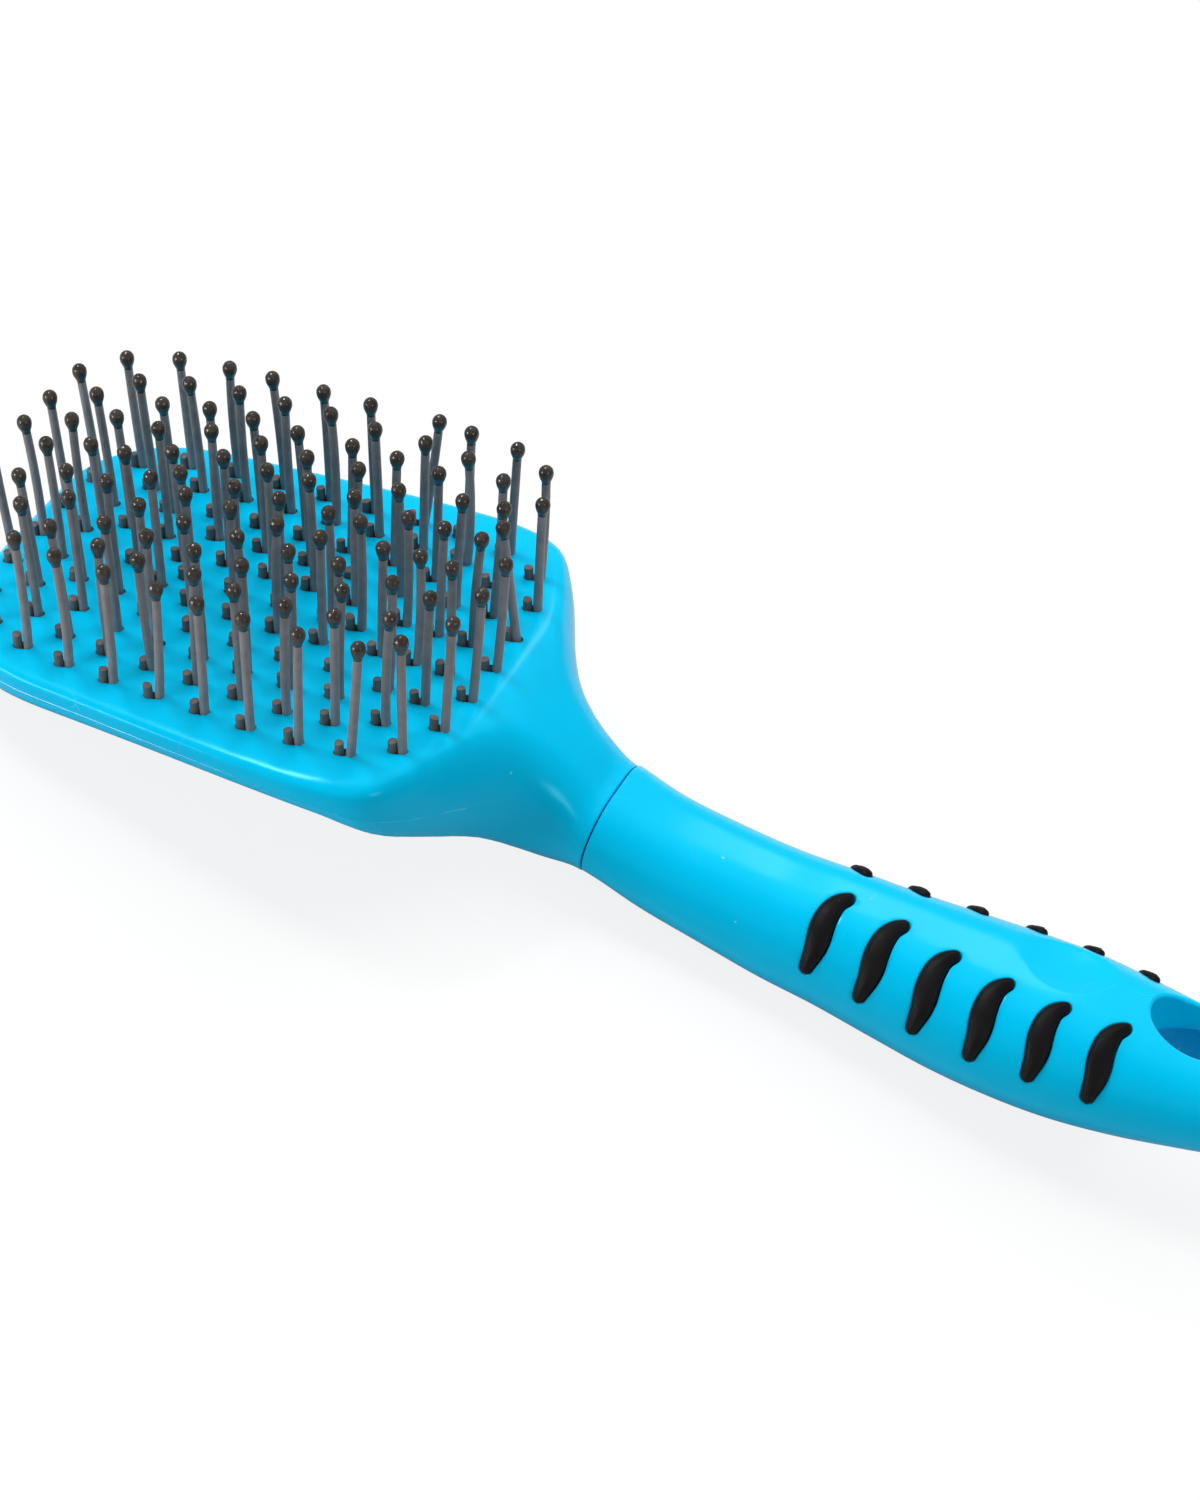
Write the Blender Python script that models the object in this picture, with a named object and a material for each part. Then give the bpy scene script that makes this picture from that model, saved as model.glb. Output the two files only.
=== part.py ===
"""Paddle brush for a horse's mane and tail.

A blue moulded head with a flat pin field, a blue handle plugged on its tang, black rubber
grip ribs let into both flanks of the handle, and folded nylon pins that stand in drilled
holes. Metres, +Z up. The brush lies on its back, pins up, with the head at -X.
"""
import bmesh
import bpy
from math import atan2, copysign, cos, pi, radians, sin
from mathutils import Matrix, Vector

# Overall sizes
HEAD_LENGTH = 0.1072
HEAD_WIDTH = 0.0745
HANDLE_LENGTH = 0.1178
GRIP_WIDTH = 0.0296
GRIP_DEPTH = 0.0204
NECK_DROP = 0.0230
GRIP_DROP = 0.0164

# Fits
CLEARANCE = 0.0003
OVERRUN = 0.0200

# Rounded ends of the head and of the handle
TIP_CORNER_LENGTH = 0.027
TIP_EDGE_LENGTH = 0.0035
TIP_CORNER_POWER = 3.0
BUTT_CORNER_LENGTH = 0.024
BUTT_EDGE_LENGTH = 0.0080
BUTT_CORNER_POWER = 2.5
BLUNT_END_LENGTH = 0.0003

# Neck joint: the cut between head and handle leans with the neck
SEAM_LEAN = radians(10)
TANG_LENGTH = 0.0260
TANG_ROOT_LENGTH = 0.0060
TANG_LEAN = radians(16)
TANG_WIDTH = 0.0136
TANG_DEPTH = 0.0086

# Pins
PIN_HEIGHT = 0.0210
PIN_DIAMETER = 0.00140
PIN_NECK_DIAMETER = 0.00115
PIN_BALL_DIAMETER = 0.00205
PIN_BALL_LENGTH = 0.00250
PIN_SPLAY = 0.0021
STUB_HEIGHT = 0.0024
STUB_DIAMETER = 0.00130
FOLD_WIDTH = 0.00156
FOLD_TURN = radians(16)
PIN_PITCH = 0.0084
RING_PITCH = 0.0059
PIN_SIDES = 4
STUB_SIDES = 4

# Pin field, as nested rings on the face; the rings' step across is a share of half its width
FIELD_TO_SEAM = 0.0202
FIELD_TO_TIP = 0.0055
FIELD_TO_SIDE = 0.00745
FIELD_LENGTH = HEAD_LENGTH - FIELD_TO_SEAM - FIELD_TO_TIP
FIELD_WIDTH = HEAD_WIDTH - 2 * FIELD_TO_SIDE
FIELD_CORNER_POWER = 4.6
FIELD_TAPER_SHARE = 0.045
RING_STEP_SHARE = 0.198

# Slices of the head's backing that carry the pins, under the face skin
SKIN_THICKNESS = 0.0016
SLICE_DEPTH = 0.0020
SLICE_WIDTH = 0.0035
SLICE_END_LENGTH = 0.0020
SLICE_LEAST_TURN = radians(2)

# Hang hole
HOLE_LENGTH = 0.0165
HOLE_WIDTH = 0.0125
HOLE_TO_BUTT = 0.0192
HOLE_SIDES = 20

# Grip ribs on the flanks
RIB_COUNT = 6
RIB_FIRST_TO_SEAM = 0.0383
RIB_PITCH = 0.0095
RIB_LENGTH = 0.0136
RIB_HOOK_LENGTH = 0.0010
RIB_WIDTH = 0.0039
RIB_LIFT = radians(28)
RIB_ROOT_DEPTH = 0.0050
RIB_FAR_DROP = 0.0011
GRIP_ROLL = radians(12)
RIB_PROUD = 0.0008
RIB_POCKET_DEPTH = 0.0016

# Shallow scoop for the thumb, on the crest of the grip
DISH_TO_BUTT = 0.0435
DISH_LENGTH = 0.0200
DISH_WIDTH = 0.0160
DISH_DEPTH = 0.0009
DISH_LEAN = radians(2)
DISH_SIDES = 24

# Rubber pad on the underside, near the neck
PAD_TO_SEAM = 0.0205
PAD_LENGTH = 0.0200
PAD_WIDTH = 0.0110
PAD_PROUD = 0.0010
PAD_SIDES = 20

# The brush lies on its back on two small flats, under the free end and under the pad
REST_TIP_SHARE = 0.965
REST_PAD_SHARE = 0.20
REST_FLAT_DEPTH = 0.0004

# Rows along the head, from the neck joint to the free end:
# place along HEAD_LENGTH; half width over half HEAD_WIDTH; top, parting line and underside
# below the face over NECK_DROP; squareness of the upper and of the lower half
HEAD_ROW_SHARES = (
    (-0.080, 0.282, 0.770, 1.090, 1.420, 2.3, 2.4),
    (0.000, 0.290, 0.706, 1.000, 1.338, 2.3, 2.4),
    (0.037, 0.281, 0.520, 0.874, 1.350, 2.4, 2.6),
    (0.074, 0.306, 0.340, 0.740, 1.348, 2.8, 2.7),
    (0.111, 0.386, 0.175, 0.605, 1.270, 3.4, 2.7),
    (0.148, 0.548, 0.040, 0.493, 1.090, 5.2, 2.5),
    (0.185, 0.757, 0.000, 0.381, 0.920, 8.0, 2.3),
    (0.231, 0.925, 0.000, 0.269, 0.775, 13.0, 2.3),
    (0.306, 0.990, 0.000, 0.179, 0.570, 18.0, 2.5),
    (0.417, 0.990, 0.000, 0.148, 0.512, 22.0, 2.7),
    (0.556, 0.963, 0.000, 0.135, 0.492, 24.0, 3.0),
    (0.741, 0.915, 0.000, 0.135, 0.515, 24.0, 3.2),
    (1.000, 0.860, 0.000, 0.135, 0.550, 24.0, 3.4),
)

# Rows along the handle, from the neck joint to the butt:
# place along HANDLE_LENGTH; drop of the centre line below the neck over GRIP_DROP; half
# width over half GRIP_WIDTH; half depth over half GRIP_DEPTH; squareness
HANDLE_ROW_SHARES = (
    (-0.060, -0.102, 0.762, 0.728, 2.3),
    (0.000, 0.006, 0.742, 0.714, 2.3),
    (0.077, 0.240, 0.720, 0.765, 2.3),
    (0.162, 0.410, 0.730, 0.818, 2.3),
    (0.248, 0.556, 0.752, 0.895, 2.3),
    (0.333, 0.645, 0.785, 0.970, 2.3),
    (0.419, 0.750, 0.860, 1.015, 2.3),
    (0.504, 0.836, 0.955, 1.035, 2.3),
    (0.590, 0.893, 1.015, 1.035, 2.3),
    (0.675, 0.936, 1.015, 1.020, 2.3),
    (0.761, 0.978, 0.940, 0.935, 2.3),
    (0.846, 0.993, 0.850, 0.812, 2.3),
    (1.000, 0.960, 0.790, 0.690, 2.3),
)

# Stations of the two lofts, as shares of their lengths
HEAD_STATION_SHARES = (
    -0.050, 0.000, 0.037, 0.074, 0.111, 0.130, 0.148, 0.167, 0.185, 0.208, 0.231, 0.265,
    0.306, 0.361, 0.417, 0.556, 0.741, 0.800, 0.850, 0.900, 0.940, 0.968, 0.985, 0.994,
)
HANDLE_STATION_SHARES = (
    -0.050, 0.000, 0.077, 0.162, 0.248, 0.333, 0.419, 0.504, 0.590, 0.675, 0.761, 0.846,
    0.900, 0.940, 0.970, 0.988, 0.9975,
)
UPPER_STEPS = 12
LOWER_STEPS = 10
FLAT_CROWN_ANGLE = radians(75)

# Middle line of one grip rib, from its lower tip to its hooked upper end:
# place along RIB_LENGTH, place along RIB_HOOK_LENGTH, half width over RIB_WIDTH
RIB_ROW_SHARES = (
    (-0.500, -0.55, 0.20),
    (-0.455, -0.45, 0.31),
    (-0.250, -0.15, 0.42),
    (-0.030, -0.05, 0.49),
    (0.140, -0.35, 0.49),
    (0.310, -0.55, 0.45),
    (0.420, -0.20, 0.41),
    (0.480, 0.40, 0.36),
    (0.505, 1.00, 0.24),
)
# Rise of each rib's middle, from the neck on, over RIB_LENGTH
RIB_RISE_SHARES = (0.060, 0.030, -0.045, -0.095, -0.115, -0.105)

# Rings of pins from the outer one in: start as a share of a pitch, then how many pins stand
# at the neck, along the far flank, at the free end and along the near flank
RING_ROWS = (
    (0.0, 7, 8, 7, 8),
    (0.5, 6, 8, 4, 8),
    (0.5, 6, 6, 3, 6),
    (0.5, 4, 5, 0, 6),
    (0.0, 3, 4, 0, 4),
)
ROW_SIDES = ("neck", "far", "tip", "near")
AXIS_SETBACK = 0.0006

# Colours of the pieces, as linear values
BLUE = (0.0, 0.500, 0.820, 1.0)
RUBBER_BLACK = (0.012, 0.011, 0.011, 1.0)
NYLON_GREY = (0.150, 0.155, 0.170, 1.0)


def make_collection(name):
    """Return a new collection linked to the scene."""
    collection = bpy.data.collections.new(name)
    bpy.context.scene.collection.children.link(collection)
    return collection


def make_material(name, color, roughness):
    """Return a Principled material of one colour."""
    material = bpy.data.materials.new(name)
    material.use_nodes = True
    shader = material.node_tree.nodes["Principled BSDF"]
    shader.inputs["Base Color"].default_value = color
    shader.inputs["Roughness"].default_value = roughness
    shader.inputs["Metallic"].default_value = 0.0
    material.diffuse_color = color
    return material


def add_object(name, mesh, collection, parent):
    """Link a mesh object under the brush's own frame."""
    piece = bpy.data.objects.new(name, mesh)
    collection.objects.link(piece)
    piece.parent = parent
    return piece


def add_cutter(name, mesh, collection, parent):
    """Link a hidden cutter under the brush's own frame."""
    cutter = add_object(name, mesh, collection, parent)
    cutter.hide_render = True
    cutter.display_type = "WIRE"
    return cutter


def add_boolean(piece, cutter, operation):
    """Cut, join or trim a piece with a cutter."""
    modifier = piece.modifiers.new(cutter.name, "BOOLEAN")
    modifier.operation = operation
    modifier.object = cutter
    modifier.solver = "EXACT"


def mesh_from_bmesh(name, form):
    """Turn a bmesh into a mesh with its faces pointing out."""
    bmesh.ops.recalc_face_normals(form, faces=form.faces)
    mesh = bpy.data.meshes.new(name)
    form.to_mesh(mesh)
    form.free()
    return mesh


def finish(piece, material, smooth_angle):
    """Give a piece its material and its smooth shading."""
    piece.data.materials.append(material)
    piece.data.shade_smooth()
    piece.data.set_sharp_from_angle(angle=smooth_angle)


def bridge_rings(form, rings):
    """Close a solid through rings of points."""
    count = len(rings[0])
    for near, far in zip(rings, rings[1:]):
        for index in range(count):
            following = (index + 1) % count
            form.faces.new((near[index], near[following], far[following], far[index]))
    form.faces.new(rings[0])
    form.faces.new(rings[-1])


def read_rows(rows, place):
    """Read every column of a table at a place, along a smooth curve through its rows."""
    last = len(rows) - 2
    step = 0
    while step < last and place > rows[step + 1][0]:
        step += 1
    before = rows[max(step - 1, 0)]
    start = rows[step]
    end = rows[step + 1]
    after = rows[min(step + 2, last + 1)]
    span = end[0] - start[0]
    t = min(max((place - start[0]) / span, 0.0), 1.0)
    values = []
    for column in range(1, len(start)):
        slope_start = (end[column] - before[column]) / (end[0] - before[0]) * span
        slope_end = (after[column] - start[column]) / (after[0] - start[0]) * span
        values.append(
            (2 * t**3 - 3 * t**2 + 1) * start[column]
            + (t**3 - 2 * t**2 + t) * slope_start
            + (3 * t**2 - 2 * t**3) * end[column]
            + (t**3 - t**2) * slope_end
        )
    return values


def rounded_end(distance, length, power):
    """Share of the full size left at a distance from a rounded end."""
    if distance >= length:
        return 1.0
    reach = 1.0 - max(distance, BLUNT_END_LENGTH) / length
    return (1.0 - reach**power) ** (1.0 / power)


def head_section(x):
    """Half width, top, parting line, underside and squareness of the head at x."""
    share = -x / HEAD_LENGTH
    half, top, parting, bottom, upper, lower = read_rows(HEAD_ROW_SHARES, share)
    to_tip = HEAD_LENGTH + x
    half *= HEAD_WIDTH / 2 * rounded_end(to_tip, TIP_CORNER_LENGTH, TIP_CORNER_POWER)
    edge = rounded_end(to_tip, TIP_EDGE_LENGTH, 2.0)
    parting *= -NECK_DROP
    top = parting + (-top * NECK_DROP - parting) * edge
    bottom = parting + (-bottom * NECK_DROP - parting) * edge
    return half, top, parting, bottom, upper, lower


def handle_section(x):
    """Half width, top, parting line, underside and squareness of the handle at x."""
    share = x / HANDLE_LENGTH
    drop, half, depth, square = read_rows(HANDLE_ROW_SHARES, share)
    to_butt = HANDLE_LENGTH - x
    half *= GRIP_WIDTH / 2 * rounded_end(to_butt, BUTT_CORNER_LENGTH, BUTT_CORNER_POWER)
    depth *= GRIP_DEPTH / 2 * rounded_end(to_butt, BUTT_EDGE_LENGTH, 2.0)
    centre = -NECK_DROP - drop * GRIP_DROP
    return half, centre + depth, centre, centre - depth, square, square


def section_points(section, x, grow):
    """Closed loop of points round the body at x, grown outwards by a distance."""
    half, top, parting, bottom, upper, lower = section(x)
    half += grow
    points = []
    crown = sin(FLAT_CROWN_ANGLE)
    for step in range(UPPER_STEPS):
        angle = pi * step / UPPER_STEPS
        y = copysign(abs(cos(angle)) ** (2 / upper), cos(angle)) * half
        rise = min(sin(angle) / crown, 1.0)
        points.append(Vector((x, y, parting + (top + grow - parting) * rise)))
    for step in range(LOWER_STEPS):
        angle = pi * step / LOWER_STEPS
        y = -copysign(abs(cos(angle)) ** (2 / lower), cos(angle)) * half
        points.append(Vector((x, y, parting + (bottom - grow - parting) * sin(angle))))
    return points


def loft_mesh(name, section, places, grow=0.0):
    """Loft a closed solid through the body's sections at the places given."""
    form = bmesh.new()
    rings = []
    for x in places:
        rings.append([form.verts.new(point) for point in section_points(section, x, grow)])
    bridge_rings(form, rings)
    bmesh.ops.dissolve_limit(
        form, angle_limit=radians(0.05), verts=form.verts, edges=form.edges
    )
    return mesh_from_bmesh(name, form)


def head_places():
    """Stations of the head loft."""
    return [-share * HEAD_LENGTH for share in HEAD_STATION_SHARES]


def handle_places():
    """Stations of the handle loft."""
    return [share * HANDLE_LENGTH for share in HANDLE_STATION_SHARES]


def box_mesh(name, size, place):
    """Box of a size, placed by a matrix."""
    form = bmesh.new()
    bmesh.ops.create_cube(form, size=1.0, matrix=place @ Matrix.Diagonal((*size, 1.0)))
    return mesh_from_bmesh(name, form)


def seam_matrix():
    """Frame of the neck joint, with its X along the neck."""
    return Matrix.Translation((0, 0, -NECK_DROP)) @ Matrix.Rotation(SEAM_LEAN, 4, "Y")


def seam_box(name, side):
    """Box that takes away what lies past the neck joint on one side."""
    reach = HEAD_WIDTH
    shift = side * (reach / 2 - CLEARANCE / 2)
    place = seam_matrix() @ Matrix.Translation((shift, 0, 0))
    return box_mesh(name, (reach, reach, reach), place)


def tang_mesh(name, clearance):
    """Oval peg that enters the handle, or its socket when a clearance is given."""
    form = bmesh.new()
    length = TANG_ROOT_LENGTH + TANG_LENGTH + clearance
    middle = (TANG_LENGTH + clearance - TANG_ROOT_LENGTH) / 2
    place = (
        Matrix.Translation((0, 0, -NECK_DROP))
        @ Matrix.Rotation(TANG_LEAN, 4, "Y")
        @ Matrix.Translation((middle, 0, 0))
        @ Matrix.Rotation(pi / 2, 4, "Y")
        @ Matrix.Diagonal((TANG_DEPTH / 2 + clearance, TANG_WIDTH / 2 + clearance, 1, 1))
    )
    bmesh.ops.create_cone(
        form, cap_ends=True, segments=16, radius1=1, radius2=1, depth=length, matrix=place
    )
    return mesh_from_bmesh(name, form)


def ring_halves(number):
    """Half length and half width of one ring of the field, counted from the outer one in."""
    half_length = FIELD_LENGTH / 2 - number * RING_PITCH
    return half_length, FIELD_WIDTH / 2 * (1 - number * RING_STEP_SHARE)


def ring_point(number, angle):
    """Point of one ring of the field."""
    half_length, half_width = ring_halves(number)
    power = 2 / FIELD_CORNER_POWER
    along = copysign(abs(cos(angle)) ** power, cos(angle)) * half_length
    across = copysign(abs(sin(angle)) ** power, sin(angle)) * half_width
    taper = 1 - FIELD_TAPER_SHARE * (1 - along / (FIELD_LENGTH / 2))
    return Vector((along - FIELD_TO_SEAM - FIELD_LENGTH / 2, across * taper, 0))


def ring_feet(number, count, phase):
    """Feet spaced evenly along one ring, from the neck end on."""
    samples = 720
    path = [ring_point(number, 2 * pi * step / samples) for step in range(samples + 1)]
    travel = [0.0]
    for start, end in zip(path, path[1:]):
        travel.append(travel[-1] + (end - start).length)
    feet = []
    for index in range(count):
        target = travel[-1] * (index + phase) / count
        step = next(i for i in range(samples) if travel[i + 1] >= target)
        part = (target - travel[step]) / (travel[step + 1] - travel[step])
        feet.append(path[step].lerp(path[step + 1], part))
    return feet


def pin_rows():
    """Name and feet of every row of pins."""
    rows = []
    for number, (phase, *lengths) in enumerate(RING_ROWS):
        count = sum(lengths)
        feet = ring_feet(number, count, phase)
        start = -(lengths[0] // 2)
        for side, length in zip(ROW_SIDES, lengths):
            row = [feet[index % count] for index in range(start, start + length)]
            if row:
                rows.append((f"pin_row_{number + 1}_{side}", row))
            start += length
    middle = -FIELD_TO_SEAM - FIELD_LENGTH / 2 - AXIS_SETBACK
    room = max(sum(ring_halves(len(RING_ROWS) - 1)) - 2 * RING_PITCH, 0.0)
    steps = round(2 * room / PIN_PITCH)
    places = [middle + (index - steps / 2) * PIN_PITCH for index in range(steps + 1)]
    rows.append((f"pin_row_{len(RING_ROWS) + 1}", [Vector((x, 0, 0)) for x in places]))
    return rows


def fold_offset():
    """Step from a pin's long leg to its short one."""
    return Vector((-cos(FOLD_TURN) * FOLD_WIDTH, -sin(FOLD_TURN) * FOLD_WIDTH, 0))


def lathe_between(form, start, end, profile, sides):
    """Add a closed turned form along a line; the profile holds (share, radius) pairs."""
    axis = (end - start).normalized()
    across = axis.orthogonal().normalized()
    other = axis.cross(across)
    rings = []
    for share, radius in profile:
        centre = start.lerp(end, share)
        ring = []
        for index in range(sides):
            angle = 2 * pi * (index + 0.5) / sides
            ring.append(form.verts.new(centre + (across * cos(angle) + other * sin(angle)) * radius))
        rings.append(ring)
    bridge_rings(form, rings)


def add_pin(form, foot):
    """Add the two legs of one folded pin, rooted in the middle of its slice."""
    root_depth = SKIN_THICKNESS + SLICE_DEPTH / 2
    along = (foot.x + FIELD_TO_SEAM + FIELD_LENGTH / 2) / (FIELD_LENGTH / 2)
    lean = Vector((PIN_SPLAY * along, 0, 0))
    tip = foot + lean + Vector((0, 0, PIN_HEIGHT + PIN_BALL_LENGTH / 2))
    root = foot - Vector((0, 0, root_depth))
    rise = (tip - root).length
    ball_foot = 1 - PIN_BALL_LENGTH / rise
    ball_middle = 1 - PIN_BALL_LENGTH / 2 / rise
    profile = (
        (0.0, PIN_DIAMETER / 2),
        (ball_foot, PIN_NECK_DIAMETER / 2),
        (ball_middle, PIN_BALL_DIAMETER / 2),
        (1.0, PIN_NECK_DIAMETER / 4),
    )
    lathe_between(form, root, tip, profile, PIN_SIDES)
    stub_root = root + fold_offset()
    stub_top = foot + fold_offset() + Vector((0, 0, STUB_HEIGHT))
    profile = ((0.0, STUB_DIAMETER / 2), (1.0, STUB_DIAMETER / 2))
    lathe_between(form, stub_root, stub_top, profile, STUB_SIDES)


def keep_bends(path):
    """Drop the points of a path where it hardly turns."""
    kept = [path[0]]
    for index in range(1, len(path) - 1):
        arriving = path[index] - kept[-1]
        leaving = path[index + 1] - path[index]
        if arriving.angle(leaving) > SLICE_LEAST_TURN:
            kept.append(path[index])
    kept.append(path[-1])
    return kept


def slice_mesh(name, feet, clearance):
    """Bar of backing under a row of pins, following the row; grown by a clearance."""
    form = bmesh.new()
    middles = [foot + fold_offset() / 2 for foot in feet]
    if len(feet) > 1:
        ends = (middles[1], middles[-2])
    else:
        ends = (middles[0] + fold_offset(), middles[0] - fold_offset())
    first = (middles[0] - ends[0]).normalized() * (SLICE_END_LENGTH + clearance)
    last = (middles[-1] - ends[1]).normalized() * (SLICE_END_LENGTH + clearance)
    path = keep_bends([middles[0] + first, *middles[1:-1], middles[-1] + last])
    half = SLICE_WIDTH / 2 + clearance
    top = -SKIN_THICKNESS + clearance
    bottom = -SKIN_THICKNESS - SLICE_DEPTH - clearance
    rings = []
    for index, point in enumerate(path):
        ahead = path[min(index + 1, len(path) - 1)]
        behind = path[max(index - 1, 0)]
        across = (ahead - behind).normalized().cross(Vector((0, 0, 1)))
        corners = ((-half, bottom), (half, bottom), (half, top), (-half, top))
        rings.append([form.verts.new(point + across * side + Vector((0, 0, z))) for side, z in corners])
    bridge_rings(form, rings)
    return mesh_from_bmesh(name, form)


def pins_mesh(name, feet):
    """All folded pins of one row, as separate legs."""
    form = bmesh.new()
    for foot in feet:
        add_pin(form, foot)
    return mesh_from_bmesh(name, form)


def pin_holes_mesh(name, rows):
    """Slots through the face skin, one round each folded pin."""
    form = bmesh.new()
    half_width = PIN_DIAMETER / 2 + CLEARANCE
    half_length = FOLD_WIDTH / 2 + half_width
    depth = SKIN_THICKNESS + SLICE_DEPTH / 2
    turn = Matrix.Rotation(FOLD_TURN, 3, "Z")
    for _, feet in rows:
        for foot in feet:
            middle = foot + fold_offset() / 2
            rings = []
            for z in (-depth, CLEARANCE):
                ring = []
                for along, across in ((1, 1), (-1, 1), (-1, -1), (1, -1)):
                    corner = turn @ Vector((along * half_length, across * half_width, 0))
                    ring.append(form.verts.new(middle + corner + Vector((0, 0, z))))
                rings.append(ring)
            bridge_rings(form, rings)
    return mesh_from_bmesh(name, form)


def joined_slices_mesh(name, rows):
    """Room for every slice inside the head, as separate bars."""
    form = bmesh.new()
    for row_name, feet in rows:
        bar = slice_mesh(row_name, feet, CLEARANCE)
        form.from_mesh(bar)
        bpy.data.meshes.remove(bar)
    return mesh_from_bmesh(name, form)


def oval_mesh(name, length, width, sides, place, reach):
    """Oval prism along the place's Z."""
    form = bmesh.new()
    matrix = place @ Matrix.Diagonal((length / 2, width / 2, 1, 1))
    bmesh.ops.create_cone(
        form, cap_ends=True, segments=sides, radius1=1, radius2=1, depth=reach, matrix=matrix
    )
    return mesh_from_bmesh(name, form)


def handle_slope(x):
    """Lean of the handle's centre line at x."""
    step = HANDLE_LENGTH / 100
    rise = handle_section(x + step)[2] - handle_section(x - step)[2]
    return atan2(rise, 2 * step)


def along_handle(x):
    """Frame on the handle's centre line at x, with its X along the handle."""
    centre = Vector((x, 0, handle_section(x)[2]))
    return Matrix.Translation(centre) @ Matrix.Rotation(-handle_slope(x), 4, "Y")


def along_grip(x):
    """Frame on the handle's centre line at x, rolled as the grip's ribs are."""
    return along_handle(x) @ Matrix.Rotation(-GRIP_ROLL, 4, "X")


def rib_outline(grow):
    """Outline of one rib in its own plane, grown by a clearance."""
    middle = []
    for up, hook, _ in RIB_ROW_SHARES:
        middle.append(Vector((hook * RIB_HOOK_LENGTH, up * RIB_LENGTH)))
    left = []
    right = []
    for index, (_, _, half) in enumerate(RIB_ROW_SHARES):
        ahead = middle[min(index + 1, len(middle) - 1)]
        behind = middle[max(index - 1, 0)]
        along = (ahead - behind).normalized()
        side = Vector((along.y, -along.x)) * (half * RIB_WIDTH + grow)
        point = middle[index]
        if index == 0:
            point = point - along * grow
        if index == len(middle) - 1:
            point = point + along * grow
        left.append(point - side)
        right.append(point + side)
    return left + right[::-1]


def dish_mesh(name):
    """Flat ellipsoid that scoops the crest of the grip for the thumb."""
    x = HANDLE_LENGTH - DISH_TO_BUTT
    _, top, centre, *_ = handle_section(x)
    place = (
        along_grip(x)
        @ Matrix.Translation((0, 0, top - centre))
        @ Matrix.Rotation(-DISH_LEAN, 4, "Y")
        @ Matrix.Diagonal((DISH_LENGTH / 2, DISH_WIDTH / 2, DISH_DEPTH, 1))
    )
    form = bmesh.new()
    bmesh.ops.create_uvsphere(
        form, u_segments=DISH_SIDES, v_segments=DISH_SIDES // 2, radius=1, matrix=place
    )
    return mesh_from_bmesh(name, form)


def ribs_mesh(name, numbers, side, grow):
    """Prisms with the rib's outline, standing out of one flank at each rib's place."""
    form = bmesh.new()
    for number in numbers:
        place = along_grip(RIB_FIRST_TO_SEAM + number * RIB_PITCH)
        rise = RIB_RISE_SHARES[number] * RIB_LENGTH - (RIB_FAR_DROP if side > 0 else 0.0)
        rings = []
        for depth in (RIB_ROOT_DEPTH + CLEARANCE - grow, GRIP_WIDTH):
            ring = []
            for across, along in rib_outline(grow):
                up = along + rise
                y = side * (cos(RIB_LIFT) * depth - sin(RIB_LIFT) * up)
                z = sin(RIB_LIFT) * depth + cos(RIB_LIFT) * up
                ring.append(form.verts.new(place @ Vector((across, y, z))))
            rings.append(ring)
        bridge_rings(form, rings)
    return mesh_from_bmesh(name, form)


def rest_pose():
    """Lean and place of the brush's own frame when it lies on its back.

    The world's origin is where the underside pad touches the surface it lies on.
    """
    tip_x = -REST_TIP_SHARE * HEAD_LENGTH
    pad_x = PAD_TO_SEAM + REST_PAD_SHARE * PAD_LENGTH
    tip_z = head_section(tip_x)[3]
    pad_z = handle_section(pad_x)[3] - PAD_PROUD
    tilt = atan2(pad_z - tip_z, pad_x - tip_x)
    touching = Matrix.Rotation(tilt, 3, "Y") @ Vector((pad_x, 0, pad_z))
    return tilt, Vector((0, 0, -REST_FLAT_DEPTH)) - touching


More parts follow.
